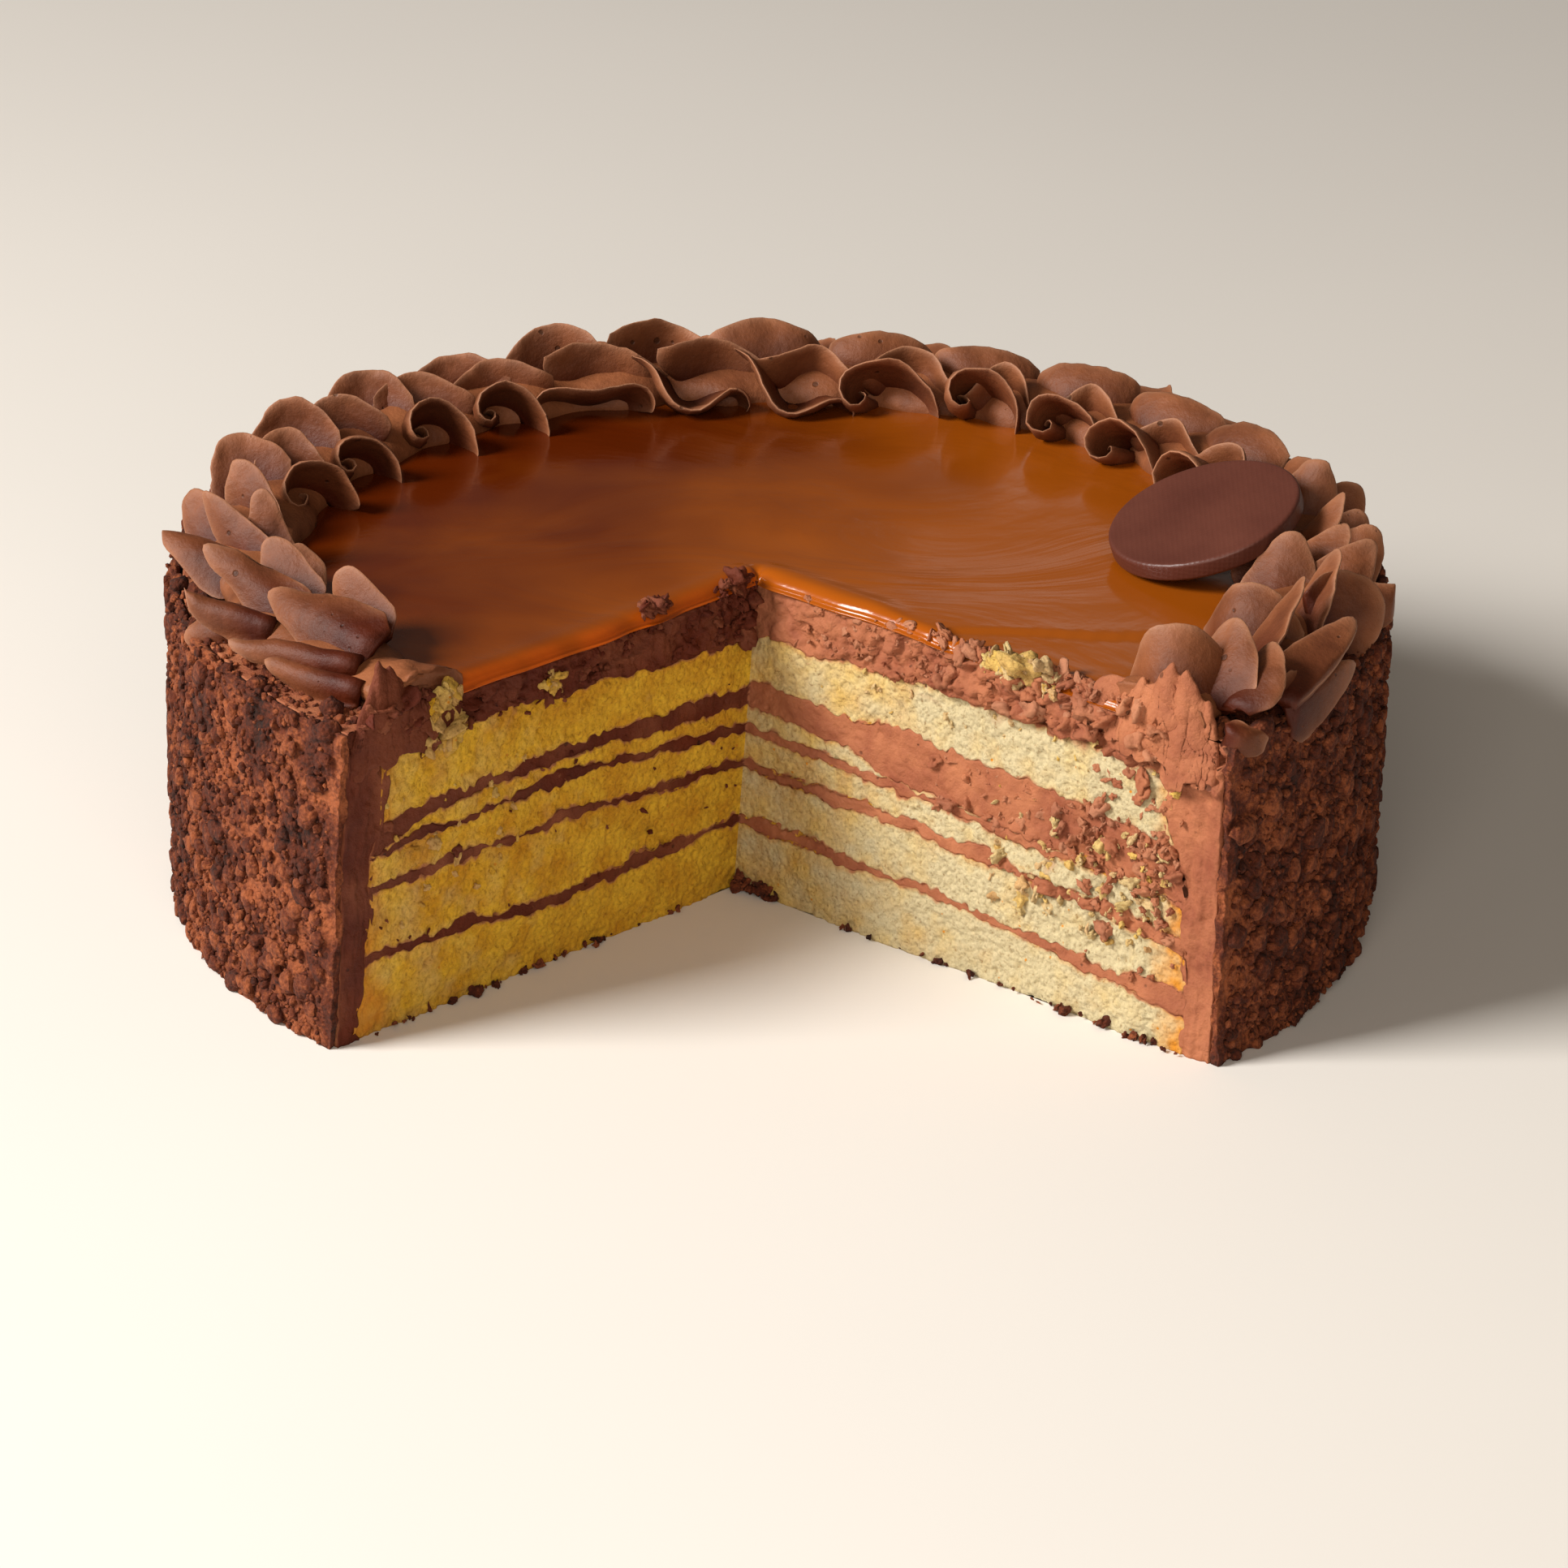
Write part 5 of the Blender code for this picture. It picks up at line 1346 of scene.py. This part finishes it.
def torn_ends(material_used):
    """The cream that the knife smeared over both ends of the border: sheets that stand on the cut
    faces, with upright ridges, a ragged foot and a ragged top edge, which is highest in the middle."""
    s, v = np.linspace(0.0, 1.0, SMEAR_ACROSS + 1), np.linspace(0.0, 1.0, SMEAR_UP + 1)
    across, up = np.meshgrid(s, v, indexing="ij")
    sheets = []
    for side, near, far, low, high, off, ridge in SMEARS:
        reach = near + (far - near) * across
        sides = np.full(reach.shape, float(side))
        lot = np.stack([reach, sides * 50.0, 0.0 * reach], axis=-1)
        peak = np.sin(np.pi * np.clip(across, 0.02, 0.98)) ** 0.45
        ragged = plus_noises(0.92, lot, SMEAR_TOP_NOISES)
        top = low + (high - low) * peak * ragged
        foot = plus_noises(low, lot, SMEAR_FOOT_NOISES)
        height = foot + (top - foot) * up
        level = np.minimum(height, CAKE_HEIGHT)
        points = place(np.where(sides > 0, 0.0, 1.0), reach, level)
        points[..., 2] = height
        drawn = points * np.array([1.0, 1.0, 0.25])
        folds = noise(drawn, 4.6, 183) + 0.35 * np.abs(noise(drawn, 2.0, 184))
        folds = folds + 0.3 * rough(points, 2.4, 185)
        stand = off * (1.0 - up) - 1.2 * up + ridge * folds * np.sin(np.pi * (0.15 + 0.7 * up))
        sheets.append(points + stand[..., None] * into_slice(sides, reach, level))
    walls = petal_walls(np.array(sheets), s, v, SMEAR_THICKNESS)
    faces = petal_faces(walls)
    # Painted shade: the smears on the left cut face are drawn darker.
    left_side_shade = 0.85 * (walls[..., 0] < 0)
    return make_piece("piped_torn_ends", walls, faces, material_used, {"moist": left_side_shade}, merge=0.002)


def petal_piece(name, base, frames, shape, thickness, material_used):
    """Petals of those shapes, stood at their bases in their frames and trimmed at the cut faces. Slow
    and fine noise makes each uneven. They carry painted light at their edges, and painted shade towards
    their roots, in the folds, and more towards the left."""
    s = 0.5 - 0.5 * np.cos(np.linspace(0, np.pi, PETAL_ACROSS + 1))
    v = np.sin(np.linspace(0, np.pi / 2, PETAL_ALONG + 1))
    sheets = petal_sheets(*shape, s, v)
    place_at = base[:, None, None]
    shift = np.stack([
        plus_noises(0.0, sheets + place_at + far, PETAL_NOISES) for far in (0.0, 200.0, 400.0)], axis=-1)
    sheets = sheets + shift * np.sqrt(v)[None, None, :, None]
    walls = petal_walls(sheets, s, v, thickness)
    points = trim_to_cut(place_at + np.einsum("nij,nabj->nabi", frames, walls))
    points = pressed_in(points)
    points[..., 2] = eased(points[..., 2], *TOP_EASE)
    # Painted light at the thin sides and the tip of each petal.
    edge = np.maximum(np.abs(2 * s[:, None] - 1) ** 14, v[None, :] ** 14)
    thin = 0.45 * np.concatenate([edge, edge[-2:0:-1]])
    # Painted shade: darker towards the roots, in the folds, and towards the left.
    fold_and_left_shade = 1.1 * (1.0 - v) ** 1.1 + 0.2 * step_up(-points[..., 0], 20.0, 90.0)
    attributes = {"thin": np.broadcast_to(thin, points.shape[:-1]), "moist": np.clip(fold_and_left_shade, 0.0, 1.3)}
    return make_piece(name, points, petal_faces(walls), material_used, attributes, merge=0.002)


def trim_to_cut(points):
    """Points beyond a cut face are pushed back onto it, each by a little more or less, as a knife
    presses soft cream."""
    height = np.minimum(points[..., 2], CAKE_HEIGHT)
    offset = points[..., :2] - tip(height)
    moved = points.copy()
    for side in (1.0, -1.0):
        along = face_direction(np.full(height.shape, side), height)
        normal = np.stack([along[..., 1], -along[..., 0]], axis=-1) * side
        beyond = (offset * normal).sum(axis=-1) + 0.6 * noise(points, 3.0, 151)
        ahead = (offset * along).sum(axis=-1) > 0
        near = (beyond > 0) & (beyond < SOFT_REACH)
        moved[..., :2] -= np.where(near & ahead, beyond, 0.0)[..., None] * normal
    return moved


def rope_sizes(angle):
    """Radius, half width and half height of the rope at angles round the cake."""
    table = np.array(ROPE)
    return [np.interp(angle, table[:, 0], table[:, column]) for column in (1, 2, 3)]


def rope_piece(material_used):
    """The rope of cream under the petals: a lumpy tube along the border. Its ends run on past the cut
    faces, shrink to points like a ball, and are pressed back onto the faces."""
    quarter = np.linspace(0, np.pi / 2, ROPE_END_STEPS + 1)
    before, after = -ROPE_PAST * np.cos(quarter)[:-1], 1.0 + ROPE_PAST * np.sin(quarter)[1:]
    sweep = np.concatenate([before, fine_sweeps(*ROPE_RUN), after])
    turn = np.linspace(0.0, 2 * np.pi, ROPE_AROUND + 1)[:-1]
    sweep, turn = np.meshgrid(sweep, turn, indexing="ij")
    angle = cut_angle(sweep, CAKE_HEIGHT)
    radius, half_width, half_height = rope_sizes(np.degrees(angle))
    over = np.clip(np.maximum(-sweep, sweep - 1.0) / ROPE_PAST, 0.0, 1.0)
    shrunk = np.sqrt(1.0 - over**2)
    scale = (1.0 + 0.1 * np.cos(2 * np.pi * SQUEEZES * sweep)) * shrunk
    reach = radius + half_width * scale * np.cos(turn)
    height = ROPE_HEIGHT + half_height * scale * np.sin(turn)
    points = np.stack([reach * np.cos(angle), reach * np.sin(angle), height], axis=-1)
    middle = np.stack([radius * np.cos(angle), radius * np.sin(angle), ROPE_HEIGHT + 0 * angle], axis=-1)
    torn_end = 1.0 - step_up(np.minimum(sweep, 1.0 - sweep), 0.0, 0.04)
    bumps = 0.9 * noise(points, 6.0, 161) + torn_end * (0.8 * rough(points, 3.0, 162) - 0.4)
    points = points + (bumps * shrunk)[..., None] * unit(points - middle)
    points = trim_to_cut(points)
    points[..., 2] = np.maximum(points[..., 2], COAT_TOP + CREAM_CLEAR)
    points = points.transpose(1, 0, 2)
    faces = tube_faces(points.shape[0], points.shape[1], False)
    return make_piece("piped_rope", points, faces, material_used)


# ---------------------------------------------------------------- properties, operators and panel


class TorteSizes(bpy.types.PropertyGroup):
    """Sizes that a cook would change."""

    pore_size: FloatProperty(name="Pore size", description="Width of a pore in the sponge",
                             default=0.0009, unit="LENGTH")
    bubble_spacing: FloatProperty(name="Bubble spacing", description="Distance between burst bubbles",
                                  default=0.0032, unit="LENGTH")
    petal_thickness: FloatProperty(name="Petal thickness", description="Thickness of a piped petal",
                                   default=0.0014, unit="LENGTH")
    fine_crumbs: IntProperty(name="Fine crumbs", description="Number of crumbs in each of two fine lots",
                             default=9000)
    coarse_crumbs: IntProperty(name="Coarse crumbs", description="Number of coarse crumbs on the side",
                               default=2200)


def colour_property(name, description, hex_colour):
    """A colour that a user can change, with its default as an sRGB hex value."""
    return FloatVectorProperty(
        name=name, description=description, subtype="COLOR", default=linear(hex_colour))


class TorteColours(bpy.types.PropertyGroup):
    """Colours of the cake."""

    sponge: colour_property("Sponge", "Cut sponge", "E9B830")
    sponge_deep: colour_property("Sponge, deep", "Sponge in its denser patches", "CC8E14")
    # Tint of the painted shade in the pores.
    sponge_pore_shade: colour_property("Sponge, pores", "Tint of the sponge in its pores", "B39569")
    # Pale colour of random patches and of the painted light on the lit right cut face.
    sponge_pale_and_lit: colour_property("Sponge, torn", "Sponge that was torn open and dried", "CDBF98")
    sponge_browned: colour_property("Sponge, browned", "Sponge that baked against the tin", "D48A24")
    cream: colour_property("Filling", "Cut buttercream in the light", "AC6B48")
    cream_deep: colour_property("Filling, deep", "Cut buttercream in its pits", "864830")
    piping: colour_property("Piping", "Piped buttercream in the light", "8E5534")
    piping_deep: colour_property("Piping, deep", "Piped buttercream in its folds", "683A22")
    # Colour of the painted light at the thin edges of the piping.
    piping_edge_lit: colour_property("Piping, thin", "Thin edges of the piping", "B8886A")
    # Tint of the painted shade on the left cut face and in the folds of the piping.
    moist: colour_property("Moist cream", "Tint of cream that stayed moist", "906040")
    # The light and dark ends of the caramel's random tone and its painted reflection.
    caramel: colour_property("Caramel", "Caramel where it lies thin", "94490A")
    # Colour of the painted glow along the cut edge.
    caramel_edge: colour_property("Caramel, edge", "Caramel at its cut edge", "B8500E")
    caramel_dark: colour_property("Caramel, deep", "Caramel where it lies deep", "541C02")
    crumb: colour_property("Crumbs", "Most of the crumbs", "56230E")
    crumb_dark: colour_property("Crumbs, dark", "The darkest crumbs", "200C05")
    crumb_pale: colour_property("Crumbs, pale", "The palest crumbs", "8E4C2A")
    chocolate: colour_property("Disc", "Dark chocolate", "50271D")
    chocolate_pale: colour_property("Disc, pale", "Dark chocolate where it bloomed", "5E3226")
    floor: colour_property("Floor", "The floor under the cake", "E2DDD6")


class TORTE_OT_stage(bpy.types.Operator):
    """Adds the floor, the lights and the camera"""

    bl_idname = "torte.stage"
    bl_label = "Stage"

    def execute(self, context):
        scene = context.scene
        mesh = bpy.data.meshes.new("floor")
        mesh.from_pydata(FLOOR_CORNERS, [], [(0, 1, 2, 3)])
        mesh.materials.append(material("painted_board", floor_material, scene.torte_colours))
        floor = bpy.data.objects.new("floor", mesh)
        scene.collection.objects.link(floor)
        world = bpy.data.worlds.new("soft_room")
        scene.world = world
        world.use_nodes = True
        room = world.node_tree.nodes["Background"].inputs
        room["Color"].default_value = opaque(linear(ROOM_COLOUR))
        room["Strength"].default_value = ROOM_STRENGTH
        for light in LIGHTS:
            add_area(*light)
        camera = bpy.data.objects.new("camera", bpy.data.cameras.new("camera"))
        camera.data.lens = CAMERA_LENS
        camera.data.sensor_width = SENSOR
        camera.data.clip_end = 50.0
        camera.matrix_world = (
            Matrix.Translation(CAMERA_PLACE)
            @ Matrix.Rotation(math.radians(CAMERA_PITCH), 4, "X")
            @ Matrix.Rotation(math.radians(CAMERA_ROLL), 4, "Z")
        )
        scene.collection.objects.link(camera)
        scene.camera = camera
        scene.view_settings.view_transform = "Standard"
        return {"FINISHED"}


def add_area(name, place_at, target, size, power, hex_colour):
    """A square soft light at a place, turned to a target."""
    light = bpy.data.lights.new(name, "AREA")
    light.shape = "SQUARE"
    light.size = size
    light.energy = power
    light.color = linear(hex_colour)
    made = bpy.data.objects.new(name, light)
    made.location = place_at
    made.rotation_euler = (Vector(target) - Vector(place_at)).to_track_quat("-Z", "Y").to_euler()
    bpy.context.scene.collection.objects.link(made)


class TORTE_OT_layers(bpy.types.Operator):
    """Adds the sponge and cream layers"""

    bl_idname = "torte.layers"
    bl_label = "Sponge and cream layers"

    def execute(self, context):
        scene = context.scene
        sponge = material("baked_egg_sponge", sponge_material, scene.torte_colours, scene.torte_sizes)
        cream = cream_of(context, "cut")
        for index, (name, _) in enumerate(LAYERS[:-1]):
            is_sponge = name.startswith("sponge")
            piece = layer_piece(index, sponge if is_sponge else cream)
            register_piece(piece, "sponge" if is_sponge else "chocolate_buttercream", name)
        return {"FINISHED"}


class TORTE_OT_coat(bpy.types.Operator):
    """Adds the buttercream on the top and the side"""

    bl_idname = "torte.coat"
    bl_label = "Buttercream coat"

    def execute(self, context):
        piece = coat_piece(cream_of(context, "cut"))
        register_piece(piece, "chocolate_buttercream", "buttercream_coat")
        return {"FINISHED"}


class TORTE_OT_scraps(bpy.types.Operator):
    """Adds the torn bits of cream and sponge on the cut faces"""

    bl_idname = "torte.scraps"
    bl_label = "Torn bits"

    def execute(self, context):
        scene = context.scene
        sponge = material("baked_egg_sponge", sponge_material, scene.torte_colours, scene.torte_sizes)
        crumbs = material("chocolate_cake_crumbs", crumb_material, scene.torte_colours)
        cream = cream_of(context, "cut")
        for name, side, rows, seed, attributes in SCRAP_PIECES:
            rows = [row for row in rows if row[0] == side]
            is_sponge = name.startswith("sponge")
            bits = scraps(name, rows, seed, sponge if is_sponge else cream, attributes)
            register_piece(bits, "sponge" if is_sponge else "chocolate_buttercream")
        bits = scraps("foot_crumbs", FOOT_SCRAPS, 34, crumbs, {"tone": (0.0, 0.8)})
        register_piece(bits, "chocolate_crumbs")
        return {"FINISHED"}


class TORTE_OT_caramel(bpy.types.Operator):
    """Adds the caramel glaze"""

    bl_idname = "torte.caramel"
    bl_label = "Caramel"

    def execute(self, context):
        piece = caramel_piece(material("poured_caramel", caramel_material, context.scene.torte_colours))
        register_piece(piece, "caramel_glaze", "caramel_top")
        return {"FINISHED"}


class TORTE_OT_crumbs(bpy.types.Operator):
    """Adds the crumbs on the side"""

    bl_idname = "torte.crumbs"
    bl_label = "Crumbs"

    def execute(self, context):
        sizes = context.scene.torte_sizes
        crumbs = material("chocolate_cake_crumbs", crumb_material, context.scene.torte_colours)
        register_piece(crumb_ring(crumbs), "chocolate_crumbs", "crumb_coat")
        for name, count, *settings in LOOSE_CRUMBS:
            piece = loose_crumbs(name, getattr(sizes, count), *settings, crumbs)
            register_piece(piece, "chocolate_crumbs", "crumb_coat")
        return {"FINISHED"}


class TORTE_OT_border(bpy.types.Operator):
    """Adds the piped border"""

    bl_idname = "torte.border"
    bl_label = "Piped border"

    def execute(self, context):
        cream = cream_of(context, "piped")
        thickness = context.scene.torte_sizes.petal_thickness / MM
        pieces = [rope_piece(cream), end_petals(thickness, cream), torn_ends(cream_of(context, "cut"))]
        pieces += [petal_tier(*tier, thickness, cream) for tier in petal_table()]
        for piece in pieces:
            register_piece(piece, "chocolate_buttercream", "piped_border")
        return {"FINISHED"}


class TORTE_OT_disc(bpy.types.Operator):
    """Adds the chocolate disc"""

    bl_idname = "torte.disc"
    bl_label = "Chocolate disc"

    def execute(self, context):
        chocolate = material("tempered_dark_chocolate", chocolate_material, context.scene.torte_colours)
        register_piece(disc_piece(chocolate), "dark_chocolate", "plaque")
        return {"FINISHED"}


class TORTE_PT_panel(bpy.types.Panel):
    """Sidebar panel of the torte"""

    bl_idname = "TORTE_PT_panel"
    bl_label = "Dobos torte"
    bl_space_type = "VIEW_3D"
    bl_region_type = "UI"
    bl_category = "Torte"

    def draw(self, context):
        for group in (context.scene.torte_sizes, context.scene.torte_colours):
            for name in group.bl_rna.properties.keys():
                if name not in ("rna_type", "name"):
                    self.layout.prop(group, name)
        for operator in OPERATORS:
            self.layout.operator(operator.bl_idname)


OPERATORS = (
    TORTE_OT_stage, TORTE_OT_layers, TORTE_OT_coat, TORTE_OT_scraps, TORTE_OT_caramel, TORTE_OT_crumbs,
    TORTE_OT_border, TORTE_OT_disc,
)
CLASSES = (TorteSizes, TorteColours) + OPERATORS + (TORTE_PT_panel,)


def register():
    for made in CLASSES:
        bpy.utils.register_class(made)
    bpy.types.Scene.torte_sizes = PointerProperty(type=TorteSizes)
    bpy.types.Scene.torte_colours = PointerProperty(type=TorteColours)


def unregister():
    del bpy.types.Scene.torte_sizes
    del bpy.types.Scene.torte_colours
    for made in reversed(CLASSES):
        bpy.utils.unregister_class(made)


def main():
    register()
    for operator in OPERATORS:
        group, name = operator.bl_idname.split(".")
        getattr(getattr(bpy.ops, group), name)()


if __name__ == "__main__":
    main()
